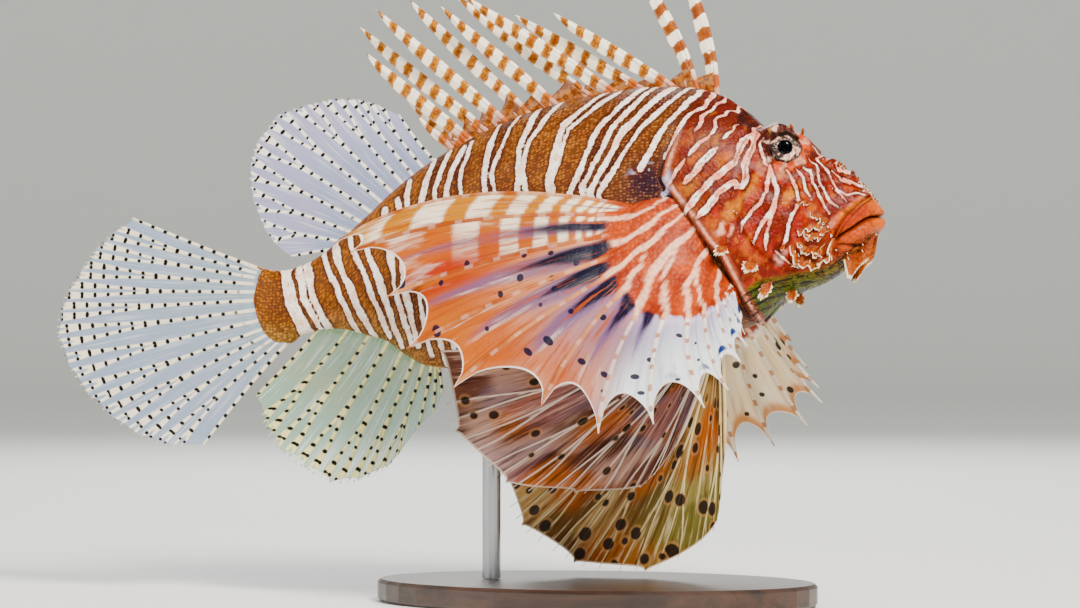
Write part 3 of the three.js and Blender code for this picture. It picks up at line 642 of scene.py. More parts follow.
# White lines, in the side view. The trunk's run on to the belly, but for the two last on the nape.
BODY_LINES = [
    [(-94.2, 9.9), (-91.6, 0), (-86.1, -12.7)], [(-91.9, 9.9), (-89, 0), (-83.9, -12)],
    [(-87.9, 10.6), (-84.6, 0), (-79.4, -11.6)], [(-84.5, 11), (-81.3, 0), (-75.7, -11.6)],
    [(-78.4, 15.2), (-72.9, 4.6), (-65, -12.3)], [(-74, 16.9), (-68.1, 4.6), (-59.1, -13.3)],
    [(-67, 18), (-60.8, 6), (-52.9, -13.3)], [(-62.6, 20.1), (-56, 6), (-48.4, -16.8)],
    [(-54.4, 27.1), (-50.1, 6), (-44.4, -16.1)], [(-49.7, 30.6), (-46.2, 7.7), (-41.9, -16.8)],
    [(-47, 37.6), (-45.5, 23.5), (-41, 6), (-37, -20)],
    [(-39.1, 44.9), (-40.7, 34), (-38, 16), (-32, -23)],
    [(-33.4, 48.1), (-36, 37.5), (-33, 12), (-27, -24)],
    [(-28.3, 49.1), (-31.3, 39.2), (-28, 12), (-22, -24)],
    [(-24.7, 50.8), (-26.3, 41), (-22, 14), (-17, -24)],
    [(-15.5, 57.7), (-16.9, 44.4), (-14.5, 20), (-9, -25)],
    [(-9, 60.4), (-14, 42.6), (-9, 20), (-5, -25)],
    [(-1.2, 63.8), (-4.5, 51.3), (-4.1, 37.3), (0, 10), (3, -25)],
    [(5.6, 65.8), (-1.3, 53.7), (-2.8, 42.5), (4, 18), (8, -25)],
    [(19.5, 68.1), (11.2, 59.1), (7, 37.2), (9, 10), (13, -24)],
    [(24.5, 68), (13.7, 57.7), (8.7, 38.9), (14, 8), (18, -24)],
    [(34.1, 69.3), (24, 57.6), (15.6, 34.3), (20, 5), (24, -23)],
    [(39, 70.6), (29.4, 57.5), (20.2, 37.1), (26, 5), (30, -22)],
    [(45.8, 71.2), (33.7, 56.8), (23.1, 35), (31, 5), (36, -20)],
    [(52, 71.1), (38.6, 56), (26, 33.6), (37, 5), (42, -19)], [(57.2, 70.2), (47.5, 57), (40.7, 43)],
    [(62, 69.4), (55, 60), (49.1, 47.2)],
]
BODY_LINE_HALF = 0.84
NAPE_LINES = 2
# The head's lines by their width: middling, wide with a dark core, and fine
MIDDLE_LINES = [
    [(58.7, 55.7), (60, 59.2), (62.1, 64.1), (64.7, 67.5), (66.8, 68.9)],
    [(66.8, 68.9), (69.7, 67.2), (72.1, 64.4)],
    [(63.8, 53.6), (64.8, 59.3), (66.5, 62.8), (69.1, 64.5), (71.7, 64.5)],
    [(67.9, 53.3), (68.9, 55.6), (71.3, 58.2)], [(57.6, 47.1), (60.8, 52), (64, 53.9)],
    [(84.2, 44.7), (84.2, 40.5), (83.5, 35.6), (81.7, 31.4), (78.5, 27.7), (76, 23.9), (75.5, 21.2)],
    [(84.2, 44.7), (85.9, 39.9), (86.9, 34.5), (86, 29.7), (83.3, 25.5), (81.1, 21.4), (79.5, 17.8)],
    [(86.8, 31.5), (85.3, 25.6), (83.9, 19.7), (83.4, 15.6)],
    [
        (89.4, 43.1), (91.6, 39.5), (93.4, 35.9), (94.1, 31.8), (92.7, 28.2), (90.9, 24), (90.3, 19.3),
        (88.6, 15.8),
    ],
    [(49, 33), (53, 41), (56.5, 46)],
]
WIDE_LINES = [
    [
        (55.5, 25.1), (58.4, 29.8), (61.7, 34.5), (67.8, 40.9), (72.6, 44.9), (73.7, 48.7), (74.7, 52.5),
        (76.9, 55.9), (78.4, 58.7),
    ],
    [(78.4, 58.7), (78.2, 53.4), (77.1, 47.6), (76.1, 43.9), (76.4, 39.6), (75.4, 36.5), (73.4, 36.2)],
    [(60.8, 25.4), (65.3, 29.9), (67.8, 34.3), (70.8, 37.3), (73.3, 38.6), (75.4, 36.5)],
    [(56.4, 37.5), (59.1, 41.1), (61.3, 44.1), (63.7, 47.2), (66.4, 50)],
]
FINE_LINES = [
    [(92.7, 43.3), (95.2, 40.2), (96.3, 36.6), (97.9, 33.6)],
    [(94.3, 44.2), (97.2, 42.8), (98.8, 38.5), (100.6, 34.3), (102.8, 30.8), (104.5, 27.9)],
    [(96.4, 48.6), (99.4, 42.9), (101.3, 37.4), (104.1, 32.6), (107, 30.3)],
    [(94.9, 53.1), (99, 48.8), (102.4, 43.7), (104.1, 40.6), (106.7, 35.7), (109.7, 32.8)],
    [(104.3, 43.1), (107.8, 40.8), (111.7, 39.2), (114.6, 38.2), (116.7, 36.6)],
    [(105.2, 45.8), (108.2, 44.1), (112.1, 41.6), (115.2, 39), (116.7, 36.6)],
    [(105.6, 36.3), (109.5, 35.2), (112.7, 35.7), (115.7, 35.8)],
    [(80.7, 53.5), (80.7, 49.7), (82.3, 45.3), (84.2, 43.9)],
    [(87, 15.1), (88.5, 13.5), (91.2, 11.3), (93.3, 10.3)],
]
HEAD_LINES = ((0.56, MIDDLE_LINES), (1.02, WIDE_LINES), (0.36, FINE_LINES))
HEAD_START = 45
# Coloured patches of the head: side-view place, radius, colour, strength
PATCHES = [
    (79.9, 39.7, 2.6, "#b86c00", 0.85), (77.7, 34.8, 2.2, "#b06800", 0.8),
    (72.8, 28.8, 3.4, "#bd7200", 0.95), (90.6, 34, 2.4, "#c07400", 0.95),
    (88.5, 40.6, 1.9, "#b46a00", 0.8), (66.3, 25.2, 3, "#b46400", 0.8), (98, 29.5, 2.4, "#b86402", 0.7),
    (62.4, 52.6, 2.6, "#aa6e02", 0.7), (66.4, 52.7, 2, "#aa6e02", 0.6), (69, 46, 2.6, "#b46202", 0.7),
    (58, 36, 3, "#ac6a04", 0.7), (82, 46, 2.4, "#b86e02", 0.7), (93.8, 38, 1.8, "#c06400", 0.7),
    (80.8, 26, 3, "#7c0a00", 0.95), (87, 21.5, 2.8, "#700800", 1), (86.3, 28.6, 2.2, "#840a00", 0.95),
    (93.7, 22.9, 2.4, "#840e00", 0.85), (67.1, 27.5, 2.2, "#a01400", 0.9),
    (101, 37.4, 2.6, "#6c0a02", 0.9), (96.4, 39.7, 2, "#7c0e02", 0.85),
    (88.1, 16.3, 2.4, "#6c0600", 0.95), (63, 22, 3, "#982404", 0.7), (99, 44, 2.4, "#6c0a02", 0.85),
    (68.9, 22, 1.9, "#e8a48c", 0.95), (72.2, 21.6, 1.2, "#e8a48c", 0.8),
    (76.3, 23.6, 1.5, "#e89c80", 0.7), (88.5, 12.9, 2.6, "#e0a494", 0.85),
    (104.9, 25.5, 2, "#d88468", 0.7), (115.4, 35, 2.2, "#e08a60", 0.6), (74.4, 62.6, 4.4, "#2a0a04", 1),
    (78.4, 59.2, 4.2, "#2a0c06", 1), (81, 54.6, 2.6, "#3c140a", 0.85), (90, 57.6, 3.4, "#2e160c", 0.9),
    (85, 59, 3.2, "#2a120a", 0.9),
]


def full_height(line):
    """A line carried on past its upper end, so that it crosses the whole flank."""
    (x0, z0), (x1, z1) = line[:2]
    return [(x0 + (x0 - x1) / max(z0 - z1, 4) * 4, z0 + 4)] + line


def lines_value(x, z):
    """Half width less distance for the nearest white line, so that above 0 is inside it."""
    best = np.full(np.shape(x), -9.0)
    behind = signed(GILL_EDGE, x, z) < 0
    wx = x + 0.5 * wobble(x, z, 4.5, 11)
    for i, line in enumerate(BODY_LINES):
        line = full_height(line)
        places = [p[0] for p in line]
        near = (x < 68) & (x > min(places) - 9) & (x < max(places) + 9)
        near &= z > 40 if i >= len(BODY_LINES) - NAPE_LINES else behind | (z > 50)
        half = BODY_LINE_HALF * (1 + 0.35 * wobble(x[near], z[near], 7, i))
        half = half * (1 + 0.25 * (i % 2)) * mix(1.25, 1.0, rise(x[near], -60, 20))
        best[near] = np.maximum(best[near], half - stroke(line, wx[near], z[near])[0])
    front = x > HEAD_START
    x, z = x[front], z[front]
    wx, wz = x + 0.35 * wobble(x, z, 3, 21), z + 0.35 * wobble(x, z, 3, 22)
    for half, group in HEAD_LINES:
        for k, line in enumerate(group):
            d, _, along = stroke(line, wx, wz)
            taper = mix(0.55, 1.0, smoothstep(np.minimum(along, 1 - along) / 0.16))
            uneven = 1 + 0.32 * wobble(x, z, 4, 30 + k) + 0.2 * wobble(x, z, 1.6, 50 + k)
            best[front] = np.maximum(best[front], half * taper * uneven - d)
    return best


def core_value(x, z):
    """The thin dark cores of the head's widest white lines."""
    best = np.full(np.shape(x), -9.0)
    front = x > HEAD_START
    half = 0.3 + 0.3 * wobble(x[front], z[front], 2.2, 41)
    for line in WIDE_LINES:
        d, _, along = stroke(line, x[front], z[front])
        ends = smoothstep(np.minimum(along, 1 - along) / 0.12)
        best[front] = np.maximum(best[front], half * ends - d)
    return best


def band_count(x, z):
    """How many trunk lines lie behind a point, which tells the bands apart."""
    count = np.zeros(np.shape(x))
    for line in BODY_LINES[:-NAPE_LINES]:
        rising = sorted(full_height(line), key=lambda p: p[1])
        count += x > np.interp(z, [p[1] for p in rising], [p[0] for p in rising])
    return count


def trunk_colour(x, z, above, axil):
    """Brown bands, ochre towards the tail, and the dark patch in the axil."""
    broad = between("#582a10", "#7e4414", drift(x, z, 5, 1))
    slim = between("#834612", "#a96a20", drift(x, z, 4, 2))
    warm = between("#7c4204", "#b26c06", drift(x, z, 6, 4))
    colour = mix(broad, slim, (band_count(x, z) % 2)[:, None] * 0.75)
    return tones(
        mix(colour, warm, fall(x, -30, 30)[:, None]),
        ("#5b2213", 0.5 * rise(above, 0.45, 0.4) * rise(x, 15, 15)),
        ("#5a3a50", 0.55 * gauss(x - 30, 16) * fall(z, 38, 14)),
        ("#c98b45", 0.6 * fall(above, -0.45, 0.4) * fall(x, 50, 20)),
        ("#94801c", 0.4 * fall(z, -6, 8) * fall(x, -38, 15)),
        ("#2f1a33", 1.15 * axil),
    )


def cheek_colour(x, z):
    """Streaks that run with the lines, orange in the hollows and dark red between, and the yellow chin."""
    across, down = 0.91 * x - 0.41 * z, 0.41 * x + 0.91 * z
    chin = smoothstep((signed(CHIN_LINE, x, z) - 2.6 - 1.4 * rise(x, 102, 5)) / 2.6)
    return tones(
        np.tile(linear("#762a00"), (len(x), 1)),
        ("#962200", rise(x, 60, 22)),
        ("#9c2c00", rise(x, 94, 8)),
        ("#511404", 0.85 * rise(z, 50, 12) * fall(x, 90, 10)),
        ("#aa5000", 0.8 * rise(wobble(across, down * 0.4, 2.3, 16), 0.15, 0.5) * fall(z, 60, 14)),
        ("#661000", 0.92 * rise(wobble(across, down * 0.3, 1.9, 6), -0.02, 0.5)),
        ("#b86a04", 0.45 * rise(wobble(across, down * 0.6, 1.2, 26), 0.5, 0.4)),
        ("#8a5208", chin),
        ("#6c5e08", chin * fall(z, 20, 10) * fall(x, 116, 10)),
        ("#465c08", 0.9 * chin * fall(z, 11, 8)),
    )


def patch_layers(x, z):
    """The head's patches as slanting, uneven ovals."""
    for px, pz, radius, shade, strength in PATCHES:
        dx, dz = x - px + 1.1 * wobble(x, z, 2.1, px), z - pz + 1.1 * wobble(x, z, 2.6, pz)
        streak = np.hypot((0.86 * dx - 0.5 * dz) * 1.35, (0.5 * dx + 0.86 * dz) * 0.75)
        yield shade, strength * smoothstep((radius * 1.25 - streak) / (radius * 0.85))


def mouth_colour(face, x, z):
    m = -signed(MOUTH_LINE, x, z)
    lips = rise(x, 105.5, 3) * np.where(m > 0, fall(m, 7.5, 2), smoothstep((6.5 + m) / 2))
    upper = rise(x, 107, 3) * rise(m, 0.8, 1) * fall(m, 5, 1.5)
    # Dark lines along the lip folds: painted shade in these grooves
    folds = [("#4a1002", 0.9 * gauss(stroke(k, x, z)[0], 0.42)) for k in (LIP_FOLD, LIP_TOP, LIP_LOW)]
    return tones(
        face,
        ("#b44a00", 0.95 * lips),
        ("#d07410", 0.85 * lips * gauss(m - 5.8, 1.3)),
        ("#cc6600", 0.8 * lips * rise(x, 115, 4)),
        ("#84400a", 0.85 * lips * smoothstep((-m - 3.2) / 2.4)),
        # A dark line along the mouth's cleft: painted shade in the gap between the lips
        ("#420e02", 0.95 * rise(x, 105, 2) * gauss(m, 0.6)),
        # A darker patch behind the mouth's corner: painted shadow on the skin under the chin's frills
        ("#6e2402", 0.75 * fall(np.hypot(x - 99.6, (z - 18.6) * 1.1), 6.4, 2.5)),
        *folds,
        ("#9c2c02", 0.8 * upper * fall(x, 118, 4)),
    )


def lid_colour(face, x, z, rho, turn):
    """The lids: dark brown with pale streaks that run in to the eye, pinker in front."""
    up = np.sin(turn)
    rim = fall(rho, 9.4, 1.4)
    front = smoothstep((0.3 + 0.8 * np.cos(turn) - 0.6 * up) / 0.7)
    spokes = np.sin(turn * 7 + 2.2 * wobble(x, z, 3, 13)) + 0.7 * wobble(x, z, 1.3, 14)
    return tones(
        mix(face, between("#2a0e08", "#c8501a", front), (0.9 * rim)[:, None]),
        ("#e6c0a6", 0.85 * rim * rise(spokes, 0.35, 0.4) * mix(1, 0.55, front)),
        ("#b08434", 0.8 * rim * rise(up, 0.5, 0.3) * rise(wobble(x, z, 1.2, 15), 0.15, 0.3)),
        ("#180806", 0.9 * fall(rho, 6.1, 0.6) * rise(wobble(x, z, 1.6, 18), -0.5, 0.4)),
    )


def skin_colour(x, z, above, rho, turn):
    """The skin's colour under its lines, how far a point is on the head, and how far in the axil."""
    axil = gauss(np.hypot((x - 44) / 1.25, z - 38), 8)
    s = signed(GILL_EDGE, x, z)
    head = rise(s, -0.3, 0.8) * rise(x, 42, 6)
    face = tones(cheek_colour(x, z), *patch_layers(x, z))
    face = lid_colour(mouth_colour(face, x, z), x, z, rho, turn)
    # The gill cover's edge is a smooth pinkish-brown band with a painted highlight along it and a painted
    # shadow behind it
    low = fall(z, 60, 14) * rise(x, 42, 5)
    colour = tones(
        mix(trunk_colour(x, z, above, axil), face, head[:, None]),
        ("#8c4428", low * fall(np.abs(s - 1.4), 2.3, 0.9)),
        ("#d49478", low * fall(np.abs(s - 1.7), 0.9, 0.8)),
        ("#3c1512", 0.85 * low * gauss(s + 0.9, 1.3)),
    )
    return colour, head, axil


def body_grid(count, around):
    """The plain body as rings of points, their outward directions, and how far above the waist they lie."""
    x = stations(count)
    waist, up, down, half = section(x)
    angle = 2 * math.pi * (np.arange(around) + 0.5) / around
    squarer = lambda v: np.sign(v) * np.abs(v) ** (2 / SECTION_POWER)
    c, s = squarer(np.cos(angle)), squarer(np.sin(angle))
    heights = waist[:, None] + np.where(s > 0, up[:, None], down[:, None]) * s
    base = np.stack([np.repeat(x[:, None], around, 1), half[:, None] * c, heights], -1)
    across = np.roll(base, -1, axis=1) - np.roll(base, 1, axis=1)
    normal = unit(np.cross(across, np.gradient(base, axis=0)))
    outward = base - np.stack([x, 0 * x, waist], -1)[:, None]
    normal *= np.sign(np.sum(normal * outward, -1, keepdims=True) + 1e-9)
    return base, normal, np.repeat(s[None], count, 0).ravel()


def scale_places(base):
    """Where scales are counted from: along the body, and round it from the back so that both sides match."""
    around = base.shape[1]
    girth = np.cumsum(np.linalg.norm(np.roll(base, -1, axis=1) - base, axis=-1), axis=1)
    top = around // 4
    girth = np.minimum(np.abs(girth - girth[:, top : top + 1]), girth[:, -1:] / 2).ravel()
    along = base[..., 0].ravel() - TAIL_END
    return np.stack([along, girth, 0 * along], -1)


def make_skin():
    count, around = ((470, 372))
    base, normal, above = body_grid(count, around)
    x, y, z = base.reshape(-1, 3).T
    lift = head_relief(x, z, y, above) * rise(x, 44, 6)
    lift = lift * mix(0.35, 1, smoothstep(np.abs(y) / 2.5) + np.where(x > 112, 1, 0)).clip(0, 1)
    lift += 0.12 * wobble(x, z, 6, 9) * fall(x, 60, 20)
    points = base.reshape(-1, 3) + normal.reshape(-1, 3) * lift[:, None]
    rho, turn = np.full(len(points), FAR_OFF), np.zeros(len(points))
    for side in (-1, 1):
        points, r, t = add_orbit(points, side)
        turn = np.where(r < rho, t, turn)
        rho = np.minimum(rho, r)
    # Over the crown the markings sway, so that they don't run straight across it
    crown = rise(above, 0.5, 0.4) * rise(x, 50, 10)
    swayed_x = x + 1.9 * crown * wobble(np.abs(y), z, 2.6, 61)
    swayed_z = z + 1.1 * crown * wobble(np.abs(y), x, 2.4, 62)
    colour, head, axil = skin_colour(swayed_x, swayed_z, above, rho, turn)
    line = lines_value(swayed_x, swayed_z)
    line = line - 2.4 * fall(np.abs(y), 3.4, 1.6) * rise(x, 90, 4) * (above > 0.2)
    below = signed(CHIN_LINE, x, z)
    chin = rise(below, 3.0, 2) * head
    values = {
        "tint": colour, "line": line, "core": core_value(x, z), "head": head, "chin": chin, "axil": axil,
        "fold": chin * np.sin(below * 3.4 + 1.6 * wobble(x, z, 8, 3)), "scales": scale_places(base),
    }
    values = {k: np.concatenate([v, v[:1], v[-1:]]) for k, v in values.items()}
    skin = Piece("skin")
    ends = [base[0].mean(0), base[-1].mean(0)]
    skin.add(np.concatenate([points, ends]), tube_faces(count, around), **values)
    return skin


def skin_paint():
    p = Paint("skin")
    p.shade = p.read("tint", "Color")
    place = p.place()
    head, chin, fold, line, core, axil = p.values("head chin fold line core axil")
    fine, broad = p.noise(place, 1.1), p.noise(place, 0.3)
    scale = p.cells(p.stretch(p.read("scales", "Vector"), (0.72, 0.95, 1)), 1.0, 0.55)[0]
    rough = p.cells(place, 0.75, 0.9)[0]
    trunk = p.less(1.0, head)
    # Darker seams of the scales, painted highlights on their centres, and the mottling of trunk and face
    p.lay("#341604", p.ramp(scale, 0.34, 0.6), trunk, 0.66)
    p.lay("#d98f24", p.ramp(scale, 0.3, 0.08), trunk, 0.5)
    p.lay("#d07c10", p.ramp(fine, 0.56, 0.76), 0.2)
    p.lay("#541204", p.ramp(broad, 0.52, 0.72), 0.45)
    p.lay("#6a0e00", p.ramp(rough, 0.42, 0.75), p.times(head, 0.35))
    # Painted shade in the chin's wrinkles and in the troughs of its folds
    flow = p.noise(p.stretch(place, (0.13, 0.3, 0.62)), 1.0, 2.5, 0.6)
    wrinkle = p.times(p.ramp(p.from_half(flow), 0.035, 0.008), chin)
    furrow = p.times(p.ramp(fold, -0.35, -0.75), p.ramp(p.noise(place, 0.3, 2), 0.42, 0.5))
    wrinkle = p.most(wrinkle, furrow)
    p.lay("#1c1004", wrinkle, 0.92)
    # White lines with dark borders and, where they are widest, a dark core
    ragged = p.times(p.less(p.noise(place, 0.7, 4, 0.62), 0.5), p.add(1.1, p.times(trunk, 0.5)))
    line = p.add(line, ragged)
    p.lay("#3e0c02", p.ramp(line, -1.3, -0.2), 0.75)
    stained = p.mix(head, "#f3cfb6", "#ec947a")
    white = p.mix(p.ramp(p.add(broad, p.times(head, 0.07)), 0.4, 0.64), "#fff4ea", stained)
    p.lay(white, p.ramp(line, -0.16, 0.2), 0.96)
    p.lay("#7a5238", p.ramp(p.add(core, p.times(p.less(fine, 0.5), 1.2)), -0.2, 0.2), 0.8)
    # Pale blotches in the axil
    p.lay("#b9b2cf", p.ramp(p.noise(place, 0.16, 2), 0.55, 0.6), p.ramp(axil, 0.35, 0.7), 0.8)
    relief = p.add(
        p.times(p.ramp(scale, 0.62, 0.1), p.times(trunk, 0.5)),
        p.times(fine, 0.35),
        p.times(p.ramp(rough, 0.1, 0.7), head, -0.14),
        p.times(wrinkle, -0.9),
        p.times(p.ramp(line, -0.3, 0.3), 0.12),
    )
    depth = dict(Subsurface_Weight=0.02, Subsurface_Scale=0.001)
    shine = dict(Specular_IOR_Level=0.1, Coat_Weight=0.02, Coat_Roughness=0.15)
    return p.finish(p.principled(0.36, p.bump(relief, 0.55), **depth, **shine))


make_skin().build([skin_paint()], ("head", "lower_jaw", "torso", "tail"), "skin")


# Fins. A fin is a fan of rays; each table is read across it, from its first ray at 0 to its last at 1.
def flat(value):
    return [[0, value], [1, value]]


def on_back(start, end, depth):
    steps = np.linspace(0, 1, 9)
    return [[t, float(through(BACK, mix(start, end, t))) + depth] for t in steps]


MEDIAN = {
    "side": -1, "rootY": flat(0), "sink": 2.4, "power": 1, "flesh": [[-1, 1.7], [0, 1.0], [0.14, 0]],
    "notch": flat(0.02), "plain": 1, "billow": 0.35,
}
CAUDAL = {
    **MEDIAN, "rays": 13, "branch": 0.35, "again": 0.72,
    "rootX": [[0, -104.6], [0.2, -106.2], [0.45, -106], [0.7, -101.6], [1, -92.4]],
    "rootZ": [[0, 11.4], [0.17, 8], [0.42, -0.4], [0.67, -10.8], [0.83, -14], [1, -15]],
    "turn": [[0, 161], [0.25, 176], [0.5, 186.5], [0.75, 205], [1, 227]],
    "bend": [[0, -4], [0.5, 2], [1, 6]], "lean": flat(2), "curl": [[0, 6], [1, -6]],
    "length": [[0, 50], [0.17, 60], [0.42, 72.6], [0.5, 74], [0.58, 72.4], [0.75, 65], [0.9, 57], [1, 48]],
}
DORSAL_SOFT = {
    **MEDIAN, "rays": 11, "branch": 0.45, "again": 0.8, "rootX": [[0, -39.5], [1, -77]],
    "rootZ": on_back(-39.5, -77, -0.6),
    "turn": [[0, 135], [0.2, 133], [0.4, 138], [0.6, 147], [0.8, 160], [0.9, 170], [1, 187]],
    "bend": [[0, -12], [0.3, -6], [0.6, 4], [1, 4]], "lean": flat(3), "curl": flat(-7),
    "length": [
        [0, 22], [0.1, 30], [0.2, 36], [0.4, 47], [0.5, 52], [0.6, 51.5], [0.7, 47.5], [0.9, 29], [1, 15],
    ],
}
ANAL = {
    **MEDIAN, "rays": 10, "plain": 3, "branch": 0.4, "again": 0.76,
    "rootX": [[0, -36], [0.22, -38.8], [0.44, -45], [0.67, -55], [0.89, -70], [1, -81]],
    "rootZ": [[0, -24], [0.22, -23], [0.44, -20.6], [0.67, -14.6], [0.89, -10.6], [1, -10.6]],
    "turn": [[0, 280], [0.11, 270], [0.33, 253], [0.56, 243], [0.78, 234], [1, 228]], "bend": flat(-4),
    "lean": flat(-3), "curl": flat(7),
    "length": [
        [0, 10], [0.11, 16.5], [0.22, 23], [0.33, 39], [0.44, 47.5], [0.6, 54.5], [0.78, 52.6],
        [0.89, 45.5], [1, 32.6],
    ],
    "notch": [[0, 0.12], [0.3, 0.05], [1, 0.035]],
}
PECTORAL = {
    "rays": 14, "plain": 14, "power": 1.5, "billow": 1.6,
    "footX": [[0, 47.5], [0.3, 54.2], [0.6, 63.5], [1, 74]],
    "footZ": [[0, 32], [0.3, 22.5], [0.6, 10], [1, -2]],
    "rootX": [
        [0, 39.5], [0.077, 35.1], [0.15, 34.5], [0.3, 36.2], [0.46, 45], [0.54, 54], [0.62, 62],
        [0.77, 70.4], [1, 74.1],
    ],
    "rootY": [[0, 25], [0.3, 34], [0.54, 39], [0.69, 36], [0.85, 30], [1, 25]],
    "rootZ": [
        [0, 29.6], [0.077, 26], [0.23, 12.5], [0.38, 1.6], [0.46, -6], [0.54, -8.8], [0.62, -9],
        [0.77, -4.6], [1, 0.5],
    ],
    "bend": [[0, 44], [0.08, 24], [0.2, 10], [0.5, 20], [0.6, 20], [1, 10]],
    "lean": [[0, 12], [0.1, 14], [0.2, 20], [0.3, 27], [0.4, 38], [0.5, 49], [0.6, 56], [0.8, 56], [1, 46]],
    "curl": [[0, -8], [0.3, -8], [0.5, -16], [0.7, -26], [1, -30]],
    "notch": [[0, 0.04], [0.1, 0.12], [0.3, 0.18], [0.5, 0.26], [1, 0.22]],
    "flesh": [[-1.4, 2.4], [-1, 2.7], [0, 1.4], [0.12, 0]],
}
PELVIC = {
    "rays": 6, "plain": 1, "power": 1, "branch": 0.2, "again": 0.52, "billow": 0.5,
    "rootX": [[0, 63.5], [1, 57]], "rootY": [[0, 8], [0.6, 11], [1, 12.5]],
    "rootZ": [[0, -15.8], [1, -10.5]], "bend": flat(-8), "notch": flat(0.035),
    "flesh": [[-1, 2.1], [0, 1.6], [0.15, 0]], "sink": 3,
}
PAIRED = {
    "pectoral_fin_right": {
        **PECTORAL, "side": -1,
        "turn": [
            [0, 170], [0.08, 179], [0.15, 191], [0.23, 203], [0.31, 216], [0.385, 237], [0.46, 256],
            [0.54, 271], [0.62, 286], [0.69, 290.5], [0.85, 300], [1, 292],
        ],
        "length": [
            [0, 107], [0.08, 93.5], [0.15, 81], [0.23, 78], [0.31, 70], [0.385, 56], [0.46, 58],
            [0.54, 56], [0.62, 53], [0.77, 38], [1, 13],
        ],
    },
    "pectoral_fin_left": {
        **PECTORAL, "side": 1,
        "turn": [
            [0, 170], [0.08, 179], [0.15, 190], [0.31, 214], [0.46, 250], [0.54, 262], [0.62, 272],
            [0.69, 286], [0.77, 296], [1, 301],
        ],
        "length": [
            [0, 107], [0.08, 94], [0.15, 84], [0.31, 74], [0.46, 64], [0.54, 62], [0.62, 56], [0.77, 46],
            [0.85, 40], [1, 18],
        ],
    },
    "pelvic_fin_right": {
        **PELVIC, "side": -1,
        "turn": [[0, 259], [0.2, 253.5], [0.4, 238], [0.6, 224.5], [0.8, 209], [1, 191]],
        "lean": [[0, 10], [1, 15]], "curl": [[0, 12], [1, 0]],
        "length": [[0, 38.5], [0.2, 57], [0.4, 70], [0.6, 84], [0.8, 89], [1, 86]],
    },
    "pelvic_fin_left": {
        **PELVIC, "side": 1,
        "turn": [[0, 274], [0.2, 272], [0.4, 255], [0.6, 240], [0.8, 227], [1, 215.5]],
        "lean": [[0, 6], [1, 10]], "curl": [[0, 10], [1, 0]],
        "length": [[0, 38], [0.2, 62.5], [0.4, 86], [0.6, 96], [0.8, 99], [1, 93]],
    },
}
RAY_STEPS = 24
BRANCH_SPREAD, TWIG_SPREAD = 0.25, 0.11


def aim(turn, out, side):
    a, b = np.radians(turn), np.radians(out)
    return np.stack([np.cos(b) * np.cos(a), side * np.sin(b), np.cos(b) * np.sin(a)], -1)


def fin_point(fin, t, s):
    """A fin's point at place t and share s of the ray's length. Below 0 it runs back to the fin's foot."""
    t, s = np.broadcast_arrays(np.asarray(t, float), np.asarray(s, float))
    root_x, root_y, root_z = (through(fin[k], t) for k in ("rootX", "rootY", "rootZ"))
    root = np.stack([root_x, fin["side"] * root_y, root_z], -1)
    turn, bend, lean, curl, length = (through(fin[k], t) for k in ("turn", "bend", "lean", "curl", "length"))
    out = np.maximum(s, 0)
    point = root.copy()
    for k in range(RAY_STEPS):
        f = (out * (k + 0.5) / RAY_STEPS) ** fin["power"]
        point += aim(turn + bend * f, lean + curl * f, fin["side"]) * (out * length / RAY_STEPS)[..., None]
    if "footX" in fin:
        fx, fz = through(fin["footX"], t), through(fin["footZ"], t)
        foot = np.stack([fx, fin["side"] * (side_of(fx, fz) - 0.5), fz], -1)
    else:
        foot = root - aim(turn, lean, fin["side"]) * fin["sink"]
    return np.where((s < 0)[..., None], mix(root, foot, -np.minimum(s, 0)[..., None]), point)


def fin_step(fin, t, s, e):
    """How a fin's point moves across the fin from just before t to just after it, and by how much t does."""
    before, after = np.maximum(t - e, 0), np.minimum(t + e, 1)
    return fin_point(fin, after, s) - fin_point(fin, before, s), after - before


def fin_normal(fin, t, s):
    e = 0.004
    along = fin_point(fin, t, s + e) - fin_point(fin, t, s - e)
    return unit(np.cross(fin_step(fin, t, s, e)[0], along))


def ray_lines(fin):
    """A fin's ray lines: (first share, last share, place across at a share, step of branching, ray)."""
    last = fin["rays"] - 1
    pitch = 1 / last
    lines = []
    for i in range(fin["rays"]):
        middle = lambda s, at=i * pitch: at + 0 * s
        if i < fin["plain"] or i == last:
            lines.append((-0.5, 1.0, middle, 0, i))
            continue
        b, c = fin["branch"], fin["again"]
        lines.append((-0.5, b + 0.02, middle, 0, i))
        for k in (-1, 1):
            part = lambda s, at=i * pitch, k=k: at + k * pitch * mix(0.0, BRANCH_SPREAD, rise(s, b, 0.9 - b))
            lines.append((b, c + 0.01, part, 1, i))
            for j in (-1, 1):
                twig = lambda s, j=j, part=part: part(s) + j * pitch * TWIG_SPREAD * rise(s, c, 1 - c)
                lines.append((c, 1.0, twig, 2, i))
    return lines


def scallop(fin, t):
    """How far the skin's edge draws back between the ray tips, as a share of the ray."""
    f = np.where(t >= 1, 0, np.mod(t * (fin["rays"] - 1), 1.0))
    return through(fin["notch"], t) * np.sin(math.pi * f**0.8) ** 0.5


def ray_gaps(fin, lines, t, s):
    """How far each point lies from the nearest ray line in millimetres, and that ray's number."""
    step, width = fin_step(fin, t, s, 0.003)
    pace = np.linalg.norm(step, axis=-1) / width
    gap, nearest = np.full(t.shape, FAR_OFF), np.zeros(t.shape)
    for low, high, place, _, i in lines:
        d = np.where((s >= low) & (s <= high + 0.02), np.abs(t - place(s)) * pace, FAR_OFF)
        nearest = np.where(d < gap, i, nearest)
        gap = np.minimum(gap, d)
    return gap, nearest


